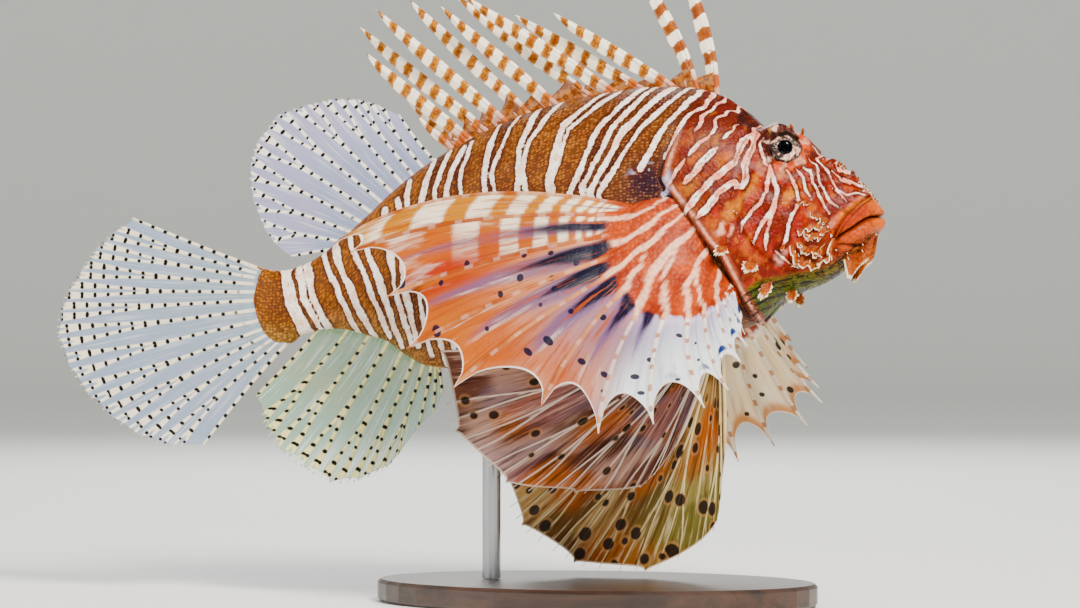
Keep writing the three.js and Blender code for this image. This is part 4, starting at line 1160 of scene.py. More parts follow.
def fin_sheet(piece, fin, lines, tint, columns, membrane):
    """The fin's skin, which sags between the rays and thickens towards the root."""
    rows, gaps = 90, fin["rays"] - 1
    back = np.linspace(-1.4, 0, 16) if "footX" in fin else np.linspace(-1, 0, 5)
    share = np.concatenate([back[:-1], np.linspace(0, 1, rows)])
    t, s = np.meshgrid(np.linspace(0, 1, gaps * columns + 1), share, indexing="ij")
    drawn_back = scallop(fin, t)
    s = s * np.where(s > 0, 1 - drawn_back * smoothstep(s / 0.9), 1)
    length = through(fin["length"], t)
    gap, nearest = ray_gaps(fin, lines, t, s)
    run, edge = s * length, (1 - drawn_back - s) * length
    f = np.mod(t * gaps, 1.0)
    sag = -fin["billow"] * np.sin(math.pi * f) * smoothstep(s / 0.25) * (1 - 0.5 * rise(s, 0.7, 0.3))
    waves = 0.25 * wobble(t * 40, s * 9, 3, 3) * smoothstep(s / 0.3)
    normal = fin_normal(fin, t, s)
    middle = fin_point(fin, t, s) + normal * (sag + waves)[..., None]
    thick = np.maximum(membrane, through(fin["flesh"], s))[..., None] * normal
    closed_sheet(
        piece, middle, thick, turned=True, tint=tint(t, s, run, gap, edge),
        ray=t * gaps, share=s, run=run, gap=gap, edge=edge, near=nearest, rod=0 * t,
    )


def fin_rods(piece, fin, lines, tint, radii):
    """The fin's rays as tapering rods."""
    steps, inside, join = 40, 9, 0.08
    for low, high, place, level, i in lines:
        s = np.linspace(low, high, max(4, int(steps * (high - low))))
        at = np.clip(place(s), 0, 1)
        taper = mix(1.0, 0.72, (s - low) / (high - low)) * mix(0.45, 1, fall(s, 1, 0.2))
        radius = radii[level] * taper
        if high < 1:
            radius = mix(radius, radii[level + 1], smoothstep((s - high + join) / join))
        run, zero = s * through(fin["length"], at), 0 * s
        edge = inside + zero
        tube(
            piece, fin_point(fin, at, s), radius, 6, 0.8, (0, 1, 0.1), tint=tint(at, s, run, zero, edge),
            ray=at * (fin["rays"] - 1), share=s, run=run, gap=zero, edge=edge, near=i + zero, rod=1 + zero,
        )


def fin_piece(name, fin, tint, radii, columns=14, membrane=0.11):
    """A fin's skin as a closed thin sheet, with its rays as rods in it."""
    piece = Piece(name)
    lines = ray_lines(fin)
    fin_sheet(piece, fin, lines, tint, columns, membrane)
    fin_rods(piece, fin, lines, tint, radii)
    return piece


def clear_tint(inner, outer, bloom):
    """Soft colours of a clear fin: by its root, at its edge, and in drifting patches."""

    def colours(t, s, run, gap, edge):
        c = between(inner, outer, smoothstep(s / 0.8))
        return tones(c, (bloom, 0.5 * smoothstep(wobble(t * 5, s * 3, 1, 5))))

    return colours


def clear_paint(name, ray_colour, film, solidness, pitch, dot):
    """Clear skin between cream rays with a row of black dots on each."""
    p = Paint(name)
    p.shade = p.read("tint", "Color")
    run, gap, near, rod, number, share, edge = p.values("run gap near rod ray share edge")
    grain = p.noise(p.join(p.times(number, 3.0), p.times(run, 0.12)))
    beat = p.from_half(p.math("FRACT", p.add(p.times(run, 1 / pitch), p.times(near, 0.37))))
    reach = p.add(p.times(beat, pitch), p.times(p.less(grain, 0.5), 0.5))
    spot = p.math("SQRT", p.add(p.times(reach, reach), p.times(gap, gap)))
    mark = p.times(p.ramp(spot, dot * 1.25, dot * 0.85), p.ramp(share, 0.04, 0.1))
    ray = p.most(p.ramp(gap, 0.74, 0.5), rod)
    halo = p.ramp(gap, 1.6, 0.4)
    streak = p.noise(p.join(p.times(number, 9.0), p.times(run, 0.05)), 1.0, 2)
    p.lay(film, halo, 0.4)
    p.lay("#ffffff", p.ramp(streak, 0.5, 0.7), 0.45)
    p.lay(ray_colour, ray)
    p.lay("#15110f", mark)
    cover = p.most(
        p.times(ray, 0.96), mark, p.add(p.times(halo, 0.16), solidness),
        p.times(p.ramp(edge, 0.8, 0.2), 0.7), p.ramp(share, 0.1, 0.0),
    )
    body = p.moist(p.add(p.times(grain, 0.4), p.times(ray, 0.6)), 0.25)
    clear = p.node("ShaderNodeBsdfTransparent").outputs[0]
    return p.finish(p.blend(cover, clear, p.glow(0.3, body)))


# Clear fins: piece, node, table, tint, radii of the rays, and the paint's ray, film, solidness, pitch and dot
CLEAR_FINS = [
    (
        "tail_fin_rays", "caudal_fin", CAUDAL,
        ("#9db4c4", "#a3b6d2", "#b3b6d8"), (0.8, 0.52, 0.36), ("#fff6e0", "#a8c2dc", 0.42, 4.9, 0.66),
    ),
    (
        "soft_dorsal_rays", "dorsal_fin_soft", DORSAL_SOFT,
        ("#9aa6cc", "#b2b4da", "#c4b0d0"), (0.68, 0.48, 0.36), ("#fffaf0", "#b4bede", 0.44, 4.3, 0.6),
    ),
    (
        "anal_fin_rays", "anal_fin", ANAL,
        ("#8fae8a", "#9cc0aa", "#b3ba78"), (0.66, 0.46, 0.34), ("#f6efb0", "#a6c090", 0.42, 4.4, 0.66),
    ),
]
for name, node, fin, shades, radii, look in CLEAR_FINS:
    fin_piece(name, fin, clear_tint(*shades), radii).build([clear_paint(node, *look)], [node], "fin_clear")


# The lobe's pale bands: place across at shares from its foot to its contour, and half width
LOBE_BANDS = [
    ([(-1.4, 0.0), (-1, 0.03), (-0.6, 0.1), (0, 0.1)], 0.013),
    ([(-1.4, 0.1), (-1, 0.14), (-0.5, 0.2), (0, 0.19)], 0.017),
    ([(-1.4, 0.22), (-1, 0.25), (-0.5, 0.29), (0, 0.3)], 0.015),
    ([(-0.75, 0.285), (-0.5, 0.3), (-0.3, 0.36), (0, 0.385)], 0.012),
    ([(-1.4, 0.36), (-1, 0.385), (-0.5, 0.4), (0, 0.46)], 0.019),
    ([(-0.9, 0.39), (-0.5, 0.45), (-0.2, 0.52), (0, 0.54)], 0.013),
    ([(-1.4, 0.52), (-1, 0.54), (-0.5, 0.56), (0, 0.62)], 0.018),
    ([(-0.8, 0.55), (-0.4, 0.63), (0, 0.7)], 0.012),
    ([(-1.4, 0.68), (-1, 0.71), (-0.5, 0.74), (0, 0.78)], 0.02),
    ([(-1.4, 0.82), (-1, 0.85), (-0.5, 0.87), (0, 0.9)], 0.02),
]
# Dark wedges between the roots of the middle rays: how far each runs out and how much of its gap it fills
WEDGE_REACH = [[0, 1], [1, 30], [2, 34], [3, 27], [4, 22], [5, 15], [6, 11], [7, 6], [8, 1], [13, 1]]
WEDGE_WIDTH = [
    [0, 0], [1, 0.3], [2, 0.62], [3, 0.95], [4, 1], [5, 0.8], [6, 0.6], [7, 0.3], [8, 0], [13, 0],
]
PECTORAL_GAPS = 13


def squares(run, full, ratio, share):
    """Bands that shorten towards the root by a steady ratio: 1 in a band."""
    place = np.log(np.maximum(run, 1e-3) / full) / math.log(ratio)
    beat = np.abs(np.mod(place + 0.5, 1) - 0.5)
    return smoothstep((share / 2 - beat) / 0.06 + 0.5) * rise(run, 4, 4)


def ray_colours(t, s):
    """Orange above, turning to pale lilac and white on the lower rays."""
    warm = between("#d48a58", "#bc6000", rise(s, 0.4, 0.35))
    outer = rise(t, 0.22, 0.06) * fall(t, 0.47, 0.06) * rise(s, 0.5, 0.3)
    warm = tones(
        warm,
        ("#f0bd8c", 0.35 * smoothstep(wobble(t * 26, s * 4, 1, 2) * 1.3 - 0.05)),
        ("#cc8a6c", rise(t, 0.28, 0.1)),
        ("#c05c00", 0.95 * outer * smoothstep(wobble(t * 22, s * 4, 1, 9) * 1.4 + 0.7)),
    )
    pale = between("#cbc4e0", "#f2fbff", smoothstep(s / 0.7))
    return mix(warm, pale, rise(t, 0.43, 0.08)[..., None])


def first_gaps(c, t, s, run):
    """The first two gaps: white with yellow-orange squares, and a fiery patch by the third ray's tip."""
    place = t * PECTORAL_GAPS
    bands = between("#fff0d6", "#c88600", squares(run, 77.6, 0.735, 0.46))
    bands = tones(bands, ("#d09c0c", 0.85 * rise(run, 84, 8)))
    more = between("#fff0d6", "#bc6a00", squares(run, 62.0, 0.71, 0.5))
    c = mix(c, bands, fall(place, 1.02, 0.1)[..., None])
    c = mix(c, more, (rise(place, 0.98, 0.1) * fall(place, 2.1, 0.3))[..., None])
    fire = fall(np.abs(t - 0.16), 0.24, 0.12) * rise(run, 46, 20) * rise(place, 1.0, 0.4)
    hot = gauss((t - 0.16) * PECTORAL_GAPS, 0.5) * gauss(run - 60, 20)
    char = gauss((t - 0.163) * PECTORAL_GAPS, 0.2) * gauss(run - 71, 2.6)
    return tones(
        c,
        ("#c46a00", 1.1 * fire),
        ("#b43200", 1.2 * hot * smoothstep(wobble(t * 60, s * 3, 1, 19) * 0.8 + 0.9)),
        ("#5c2604", 0.9 * char),
    )


def dark_gaps(c, t, s, run, gap, edge):
    """Dark between the roots of the middle rays with a violet bloom further out, and a dark blue margin."""
    place = t * PECTORAL_GAPS
    reach = np.maximum(through(WEDGE_REACH, place) + 5 * wobble(place * 7, s, 1, 3), 1)
    off_middle = np.abs(2 * (place - np.floor(place)) - 1)
    dusk = rise(t, 0.2, 0.1) * fall(t, 0.58, 0.1) * fall(run, 46, 30)
    layers = [("#8a6e98", 0.6 * dusk)]
    for long, shade, strength in ((1.9, "#6a5688", 0.75), (1.0, "#100e2c", 1)):
        wedge = through(WEDGE_WIDTH, place) * (1.25 - run / (long * reach)) - off_middle
        layers.append((shade, strength * smoothstep(wedge / 0.3 + 0.3) * rise(gap, 0.2, 0.6)))
    margin = gauss(off_middle, 0.45) * gauss(edge - 3.2, 1.5) * rise(place, 6.5, 1.5)
    uneven = smoothstep(wobble(place, 0 * s, 0.7, 8) + 1.0)
    return tones(c, *layers, ("#173a86", smoothstep(margin * 3.2 - 0.7) * uneven))


def lobe_colours(t, s):
    """The lobe: orange with pinkish-white bands that fan out to the rays."""
    lobe = between("#9a3000", "#bc5000", drift(t * 34, s * 9, 2, 7))
    band = np.zeros(np.shape(t))
    for line, half in LOBE_BANDS:
        at = np.interp(s, [q for q, _ in line], [v for _, v in line])
        at = at + 0.006 * np.sin(s * 11 + at * 50)
        wide = 0.88 * half * (1 + 0.35 * wobble(s * 6, t * 0 + half * 900, 1, 5)) * (s >= line[0][0] - 0.02)
        band = np.maximum(band, smoothstep((wide - np.abs(t - at)) / 0.008 + 0.5) * (wide > 0))
    stain = 0.6 * smoothstep(wobble(t * 60, s * 16, 2, 17) * 2)
    return tones(lobe, ("#7c1c04", stain), ("#f8c0a2", 0.95 * band))


def pectoral_tint(t, s, run, gap, edge):
    c = first_gaps(ray_colours(t, s), t, s, run)
    c = dark_gaps(c, t, s, run, gap, edge)
    reach = 0.015 + 0.1 * gauss(gap, 1.3) + 0.02 * wobble(t * 50, s * 4, 1, 12)
    return mix(lobe_colours(t, s), c, smoothstep((s - reach) / 0.03)[..., None])


def far_pectoral_tint(t, s, run, gap, edge):
    """The same with cream, orange-edged lower rays."""
    lower = rise(t, 0.4, 0.1)
    cream = between("#ffe9c0", "#fff6dc", drift(t * 20, s * 6, 1, 4))
    c = mix(pectoral_tint(t, s, run, gap, edge), cream, (lower * smoothstep(s / 0.1))[..., None])
    return tones(c, ("#d98a10", 0.8 * lower * fall(edge, 7, 5) * smoothstep(s / 0.3)))


def ovals(p, ray, run, across, along, size, chance):
    """Scattered ovals in the skin, as how far inside one a point lies."""
    distance, shade = p.cells(p.join(p.times(ray, across), p.times(run, along)), 1.0, 0.8, "2D")
    split = p.node("ShaderNodeSeparateColor")
    exists = p.math("GREATER_THAN", p.fill(split, shade), 1 - chance)
    inside = p.less(p.add(size * 0.6, p.times(split.outputs[1], size * 0.8)), distance)
    return p.less(p.times(p.add(inside, 1.0), exists), 1.0)


def pectoral_rays(p, low):
    """The rays' colour: orange with pale edges above, white with small orange squares below."""
    run, near = p.values("run near")
    loose = p.noise(p.join(p.times(near, 7.7), p.times(run, 0.05)), 1.0, 2)
    beat = p.math("FRACT", p.add(p.times(run, 0.105), p.times(near, 0.41), p.times(loose, 0.8)))
    square = p.ramp(p.from_half(beat), 0.17, 0.11)
    upper = p.mix(p.ramp(loose, 0.4, 0.6), "#ac4e00", "#d89458")
    upper = p.mix(p.times(square, 0.25), upper, "#fff0e2")
    lower = p.mix(p.times(square, 0.9), "#fff6ea", "#c87400")
    return p.mix(low, upper, lower)


def pectoral_paint(name, far):
    p = Paint(name)
    p.shade = p.read("tint", "Color")
    run, gap, rod, ray, share, edge = p.values("run gap rod ray share edge")
    lilac, spots, size = ("#d9963a", "#1c120c", 0.17) if far else ("#b6a2cc", "#0c1538", 0.12)
    place = p.place()
    grain, wart = p.noise(place, 0.9), p.cells(place, 0.62, 0.9)[0]
    out, low = p.ramp(share, 0.02, 0.08), p.ramp(ray, 5.4, 6.4)
    clear_of_root = p.times(p.ramp(run, 14, 34), out)
    # Streaks and threads in the skin
    streak = p.noise(p.join(p.times(ray, 6.0), p.times(run, 0.035)), 1.0, 4, 0.6)
    thread = p.noise(p.join(p.times(ray, 19.0), p.times(run, 0.04)), 1.0, 3, 0.6)
    p.lay(p.mix(low, "#b85200", lilac), p.ramp(streak, 0.52, 0.64), out, p.add(0.75, p.times(low, -0.4)))
    p.lay("#fff2e6", p.ramp(streak, 0.45, 0.3), clear_of_root, 0.4)
    p.lay("#983c00", p.ramp(thread, 0.54, 0.64), clear_of_root, p.add(0.5, p.times(low, -0.38)))
    p.lay(pectoral_rays(p, low), p.most(p.ramp(gap, 1.0, 0.5), p.times(rod, 0.9)), out, 0.82)
    # Dark ovals in the skin between the rays
    inside = ovals(p, ray, run, 1.25, 0.1, size, 0.62)
    spot = p.times(p.ramp(inside, -0.015, 0.02), p.ramp(run, 9, 15), p.ramp(ray, 1.2, 1.6))
    p.lay(spots, spot, p.ramp(gap, 0.4, 0.8), 0.95)
    # White edge, and the lobe's warty skin
    lobe = p.less(1.0, out)
    p.lay("#fffaf2", p.ramp(edge, 0.8, 0.35), out, 0.85)
    p.lay("#7a2406", p.ramp(wart, 0.35, 0.8), lobe, 0.35)
    relief = p.add(
        p.times(streak, p.times(out, 0.9)), p.times(grain, 0.4), p.times(wart, lobe, -0.6),
        p.times(p.ramp(gap, 1.6, 0.2), p.times(p.ramp(share, -0.25, 0.0), 0.8)),
    )
    body = p.moist(relief, 0.55)
    return p.finish(p.glow(p.times(p.ramp(share, 0.05, 0.3), 0.3), body))


def pelvic_tint(t, s, run, gap, edge):
    patch = lambda seed, low: rise(wobble(t * 9, s * 5, 1, seed), low, 0.4)
    c = tones(
        between("#4a2818", "#845240", drift(t * 6, s * 4, 1, 6)),
        ("#cfa492", 0.85 * rise(s, 0.5, 0.35) * patch(4, -0.35)),
        ("#bd6404", 0.85 * patch(8, 0.0) * rise(t, 0.1, 0.2)),
        ("#8d7f96", 0.4 * patch(12, 0.15)),
        ("#26101a", 0.7 * fall(s, 0.36, 0.25)),
    )
    return mix(linear("#9a4418"), c, smoothstep(s / 0.06)[..., None])


def far_pelvic_tint(t, s, run, gap, edge):
    patch = lambda seed, low: rise(wobble(t * 9, s * 5, 1, seed), low, 0.4)
    c = tones(
        between("#64400c", "#9c6e20", drift(t * 6, s * 4, 1, 6)),
        ("#d8b06a", 0.6 * patch(3, 0.1)),
        ("#b86000", 0.9 * patch(8, 0.05)),
        ("#5c8040", 0.55 * gauss(t - 0.28, 0.2) * rise(s, 0.4, 0.3)),
    )
    return mix(linear("#9a4418"), c, smoothstep(s / 0.06)[..., None])


def pelvic_paint(name, far):
    p = Paint(name)
    p.shade = p.read("tint", "Color")
    run, gap, rod, ray, share, edge = p.values("run gap rod ray share edge")
    dark, light, rays = ("#5e2a08", "#fbe6b8", "#f4e4ae") if far else ("#220d08", "#f0cbb2", "#f6e2d2")
    size, chance = (0.24, 0.62) if far else (0.18, 0.45)
    streak = p.noise(p.join(p.times(ray, 14.0), p.times(run, 0.035)), 1.0, 4, 0.65)
    on_ray = p.most(p.ramp(gap, 0.55, 0.25), rod)
    inside, late = ovals(p, ray, run, 3.1, 0.115, size, chance), p.ramp(run, 12, 24)
    p.lay(dark, p.ramp(streak, 0.5, 0.64), 0.75)
    p.lay(light, p.ramp(streak, 0.47, 0.34), 0.6)
    p.lay(rays, on_ray, 0.88)
    p.lay("#dca468", p.ramp(inside, -0.16, -0.04), late, 0.35)
    p.lay("#0e0810", p.ramp(inside, -0.03, 0.05), late, 0.93)
    p.lay("#f6e6cc", p.ramp(edge, 0.9, 0.3), 0.7)
    body = p.moist(p.add(p.times(streak, 0.9), p.times(on_ray, 0.7)), 0.5, 0.42)
    return p.finish(p.glow(p.times(p.ramp(share, 0.05, 0.3), 0.3), body))


for name, fin in PAIRED.items():
    far = fin["side"] > 0
    if name.startswith("pectoral"):
        tint = far_pectoral_tint if far else pectoral_tint
        piece = fin_piece(f"{name}_rays", fin, tint, (0.85, 0.5, 0.4), membrane=0.14)
        piece.build([pectoral_paint(name, far)], [name], "fin_pectoral")
    else:
        tint = far_pelvic_tint if far else pelvic_tint
        piece = fin_piece(f"{name}_rays", fin, tint, (0.8, 0.5, 0.32), columns=26)
        piece.build([pelvic_paint(name, far)], [name], "fin_pelvic")


# Spiny dorsal fin: thirteen hard spines, each with a banner of skin behind it, and low webs between them
SPINES = 13
SPINE_X = [
    [0, 61.8], [1, 54.7], [2, 46.8], [3, 35], [4, 25.4], [5, 17.1], [6, 4.5], [7, -5.5], [8, -13.6],
    [9, -20.6], [10, -26.6], [12, -33],
]
SPINE_TURN = [[0, 92], [1, 105], [2, 143.6], [3, 145.4], [5, 140], [7, 134], [9, 138.5], [12, 135]]
SPINE_BEND = [[0, 28], [1, 26], [2, 10], [12, 6]]
SPINE_LENGTH = [
    [0, 48], [1, 50], [2, 51], [3, 55], [4, 64.5], [5, 64], [6, 55], [7, 62.8], [9, 62.9], [10, 49.4],
    [11, 28.5], [12, 17.8],
]
BANNER = [[0, 3.2], [0.15, 3.2], [0.5, 4.2], [0.8, 3.0], [1, 0.2]]
SPINE_RADIUS, SPINE_LEAN = 1.0, 4
WEB_SHARE, WEB_END = 0.17, 3.2
SIDEWAYS = np.array([0.0, 1.0, 0.0])


def spine_at(i, s):
    """A spine's path, the way its front faces, and its length."""
    x, turn, bend, length = (float(through(k, i)) for k in (SPINE_X, SPINE_TURN, SPINE_BEND, SPINE_LENGTH))
    lean = SPINE_LEAN * (1 if i % 2 else -1) * (1 <= i <= SPINES - 2)
    out = np.maximum(s, 0)
    point = np.tile([x, 0.0, float(through(BACK, x))], (len(s), 1))
    for k in range(RAY_STEPS):
        f = out * (k + 0.5) / RAY_STEPS
        point += aim(turn + bend * f, lean + 0 * f, 1) * (out * length / RAY_STEPS)[:, None]
    point += aim(turn, lean, 1) * (np.minimum(s, 0) * length)[:, None]
    return point, aim(turn + bend * out - 90, 0 * out, 1), length


def spine_and_banner(piece, i):
    rows, columns = 90, 9
    s = np.linspace(-0.08, 1, rows)
    path, ahead, length = spine_at(i, s)
    out, run, zero = np.clip(s, 0, 1), s * length, 0 * s
    radius = SPINE_RADIUS * mix(1, 0.24, out) * np.where(out > 0.97, 1 - (out - 0.97) / 0.04, 1)
    tube(piece, path, radius, 12, 0.9, (0, 1, 0), run=run, spine=i + zero, share=s, back=zero, web=zero)
    wide = through(BANNER, out) * min(1, length / 45)
    wide = wide * (1 + 0.07 * wobble(run, zero, 2.4, i)) * fall(out, 1.01, 0.06)
    across = np.linspace(0, 1, columns)
    wave = 0.35 * np.sin(across * math.pi * 1.4) * np.sin(run[:, None] * 0.35 + i)
    behind = radius[:, None] * 0.6 + across * wide[:, None]
    sheet = path[:, None] - ahead[:, None] * behind[..., None] + SIDEWAYS * wave[..., None]
    thick = SIDEWAYS * mix(0.34, 0.1, across)[None, :, None]
    spread = lambda v: np.repeat(v[:, None], columns, 1)
    closed_sheet(
        piece, sheet, thick, run=spread(run), spine=spread(i + zero), share=spread(s),
        back=np.tile(across, (rows, 1)), web=spread(zero),
    )


def low_web(piece, i):
    """The low skin between one spine's foot and the next."""
    f, up = np.linspace(0, 1, 14), np.linspace(-0.06, 1, 10)
    here, following = (float(through(SPINE_TURN, k)) for k in (i, i + 1))
    x = mix(float(through(SPINE_X, i)), float(through(SPINE_X, i + 1)), f)
    foot = np.stack([x, 0 * x, through(BACK, x) - 1.5], -1)
    top = mix(WEB_SHARE * float(through(SPINE_LENGTH, i)), WEB_END, f**0.8)
    heading = unit(mix(aim(here, 0.0, 1)[None], aim(following, 0.0, 1)[None], f[:, None]))
    tall = up * top[:, None] + 1.5 * up
    sheet = foot[:, None] + heading[:, None] * tall[..., None]
    sheet[..., 1] += 0.5 * np.sin(f * math.pi)[:, None] * up * (1 if i % 2 else -1)
    level = np.tile(up, (len(f), 1))
    zero = 0 * level
    closed_sheet(
        piece, sheet, 0.22 * SIDEWAYS, run=level * 12, spine=i + zero, share=level * 0.3,
        back=0.5 + zero, web=1 + zero,
    )


def spiny_dorsal():
    piece = Piece("spines_and_banners")
    for i in range(SPINES):
        spine_and_banner(piece, i)
        if i + 1 < SPINES:
            low_web(piece, i)
    return piece


def spine_paint():
    p = Paint("dorsal_fin_spines")
    run, spine, back, web = p.values("run spine back web")
    place = p.place()
    grain, fine = p.noise(place, 0.55), p.noise(place, 1.6, 2)
    pace = p.add(0.148, p.times(p.ramp(spine, 1.5, 0.5), -0.035))
    uneven = p.times(p.less(grain, 0.5), 0.35)
    phase = p.add(p.times(run, pace), p.times(spine, 0.31), uneven, p.times(back, 0.12))
    beat = p.from_half(p.math("FRACT", phase))
    band = p.ramp(beat, 0.28, 0.2)
    gold = p.mix(p.ramp(grain, 0.4, 0.62), "#c48610", "#a05c08")
    p.shade = p.mix(band, "#fff6e2", gold)
    heart = p.times(p.ramp(beat, 0.13, 0.06), p.ramp(fine, 0.42, 0.56))
    p.lay("#7a3612", heart, 0.75)
    p.lay("#8f4218", band, p.ramp(spine, 1.6, 1.2), 0.7)
    p.lay("#b5541c", p.ramp(run, 11.0, 2.0), 0.75)
    p.lay("#fff8ee", p.ramp(back, 0.8, 1.0), 0.35)
    low = p.mix(p.ramp(grain, 0.42, 0.6), "#7e3c0a", "#b87420")
    low = p.mix(p.times(p.ramp(fine, 0.6, 0.7), 0.5), low, "#e8b07c")
    p.lay(low, web, 0.92)
    body = p.moist(p.add(fine, p.times(grain, 0.5)), 0.18)
    return p.finish(p.glow(p.times(p.ramp(back, 0.15, 0.5), 0.35), body))


spiny_dorsal().build([spine_paint()], ["dorsal_fin_spines"], "fin_spines")


# Eyes: a clear dome over a sunk ring of mottled colour and a black pupil
EYE_SIDES = 64
BALL_RADIUS = EYE["radius"] - 0.15
PUPIL, IRIS, IRIS_TOP, IRIS_DROP = 2.35, 6.3, 4.05, 1.45
DOME_GAP, DOME_RISE, DOME_EDGE = 0.12, 0.35, 6.75


def eye_paint():
    p = Paint("eye_ball")
    ring, turn = p.read("ring"), p.read("turn", "Vector")
    blot = p.noise(p.shift(p.stretch(turn, (1.5, 1.5, 1.5)), p.times(ring, 1.3)), 1.0, 3, 0.6)
    fleck = p.noise(p.shift(p.stretch(turn, (5.0, 5.0, 5.0)), p.times(ring, 2.5)), 1.0, 2)
    p.shade = p.mix(p.ramp(fleck, 0.42, 0.6), "#c98c76", "#f6dccb")
    p.lay("#5c3426", p.ramp(fleck, 0.44, 0.38), 0.7)
    p.lay("#160c0e", p.ramp(blot, 0.56, 0.5), 0.95)
    p.lay("#2a1612", p.ramp(ring, 0.12, 0.04), 0.9)
    p.lay("#1c0c0a", p.ramp(ring, 0.66, 0.92))
    return p.finish(p.principled(0.4, Specular_IOR_Level=0.2))


def pupil_paint():
    p = Paint("eye_pupil", "#010206")
    return p.finish(p.principled(0.9, Specular_IOR_Level=0.0))


def cornea_paint():
    p = Paint("eye_cornea")
    clear = p.node("ShaderNodeBsdfTransparent").outputs[0]
    gloss, rim = p.node("ShaderNodeBsdfGlossy"), p.node("ShaderNodeFresnel")
    p.plug(gloss, Roughness=0.03)
    p.plug(rim, IOR=1.2)
    return p.finish(p.blend(rim.outputs[0], clear, gloss.outputs[0]))


def ball_profiles():
    """The pupil's hole, then the iris and round to the ball's back: from the axis, height, and iris share."""
    hole = [(0.02, 2.6), (1.4, 2.6), (2.1, 2.9), (PUPIL, 3.5), (PUPIL + 0.15, IRIS_TOP)]
    share = lambda r: (r - PUPIL) / (IRIS - PUPIL)
    ring = [(r, IRIS_TOP - IRIS_DROP * share(r) ** 1.3, share(r)) for r in np.linspace(PUPIL + 0.4, IRIS, 22)]
    angles = np.linspace(math.asin(IRIS / BALL_RADIUS) + 0.03, math.pi - 0.02, 26)
    ball = [(BALL_RADIUS * math.sin(a), BALL_RADIUS * math.cos(a), 1.2) for a in angles]
    hole = [(*p, 0.0) for p in hole]
    return np.array(hole), np.array(hole[-1:] + ring + ball)


def dome_profile():
    """The clear dome, a little prouder in the middle."""
    angle = np.linspace(0.015, math.asin(min(0.97, DOME_EDGE / BALL_RADIUS)), 26)
    radius = BALL_RADIUS + DOME_GAP
    height = radius * np.cos(angle) + DOME_RISE * np.cos(angle * 1.2) ** 4
    return np.stack([radius * np.sin(angle), height, 0 * angle], 1)


def make_eye(name, side, paints):
    centre, axis = eye_frame(side)
    level = unit(np.cross([0, 0, 1.0], axis))
    upward = unit(np.cross(axis, level))
    turn = np.arange(EYE_SIDES) * 2 * math.pi / EYE_SIDES
    spoke = np.cos(turn)[:, None] * level + np.sin(turn)[:, None] * upward
    mottle = np.stack([np.cos(turn), np.sin(turn), 0 * turn], -1)
    turned = lambda p: (centre + p[:, :1, None] * spoke + p[:, 1:2, None] * axis).reshape(-1, 3)
    piece = Piece(f"eyeball_{name}")
    for profile, slot in zip(ball_profiles(), (2, 0)):
        rows = len(profile)
        faces = [grid_faces(rows, EYE_SIDES, wrap=True)[:, ::-1]]
        share = np.repeat(profile[:, 2], EYE_SIDES)
        piece.add(turned(profile), faces, slot, ring=share, turn=np.tile(mottle, (rows, 1)))
    dome = dome_profile()
    cap = np.concatenate([turned(dome), [centre + axis * dome[0, 1]]])
    rings = grid_faces(len(dome), EYE_SIDES, wrap=True)[:, ::-1]
    top = fan(np.arange(EYE_SIDES), len(dome) * EYE_SIDES)
    piece.add(cap, [rings, top], 1, ring=np.zeros(len(cap)), turn=0 * cap)
    piece.build(paints, [f"eye_{name}"], "eye")


eye_paints = [eye_paint(), cornea_paint(), pupil_paint()]
make_eye("right", -1, eye_paints)
make_eye("left", 1, eye_paints)


# Flaps, feelers and warts of the head: [x, z, length, width, turn, how far out, leafy twigs or teeth]
FLAPS = [
    [71, 17, 7, 4.6, 234, 42, 5], [80, 11.5, 6.8, 5.4, 238, 45, 8], [84.5, 5, 8.5, 4.2, 246, 34, 6],
    [99, 21, 4.2, 1.8, 235, 50, 5], [101.5, 17, 5, 2.0, 258, 45, 5], [97, 17.5, 4, 1.8, 225, 50, 5],
    [91, 3, 5.5, 4.4, 262, 20, 4], [106, 45.2, 2.6, 0.8, 75, 35, 2], [84, 57.4, 2.6, 0.7, 112, 12, 2],
    [88.5, 58.2, 3.0, 0.8, 90, 10, 3], [92, 57, 2.6, 0.7, 70, 12, 2], [110, 43.4, 1.2, 0.5, 60, 20, 0],
    [89.5, 17, 3.2, 1.5, 250, 55, 3], [93.5, 12, 3.2, 1.5, 255, 45, 4],
]
BROAD_FLAP = 4
# Places with small warts and fringes: side-view line, how many, size
FRINGES = [
    ([(92.5, 15.9), (95.7, 12.6), (100.6, 11.6), (104.9, 15), (105.5, 21), (103, 25)], 16, 1.3),
    ([(96.5, 21.8), (99, 24.5), (103.2, 24.3), (104.6, 20.5)], 9, 1.2),
    ([(121, 37.5), (117, 38.5), (113, 41)], 5, 0.8), ([(106, 37.5), (98, 37.6), (90, 36.6)], 6, 0.9),
    ([(97, 49.5), (101, 47.4), (106, 45), (110, 41.6)], 6, 0.8), ([(82, 38.3), (77.5, 40.5)], 3, 0.9),
    ([(74.2, 35.5), (73.8, 29), (76, 22.5), (80.5, 16.5)], 5, 1.1),
    ([(100.5, 34), (97.5, 32.5), (94, 30.5)], 4, 0.9),
    ([(119, 24), (116.5, 19), (113, 16.5), (109, 15)], 6, 0.9),
]
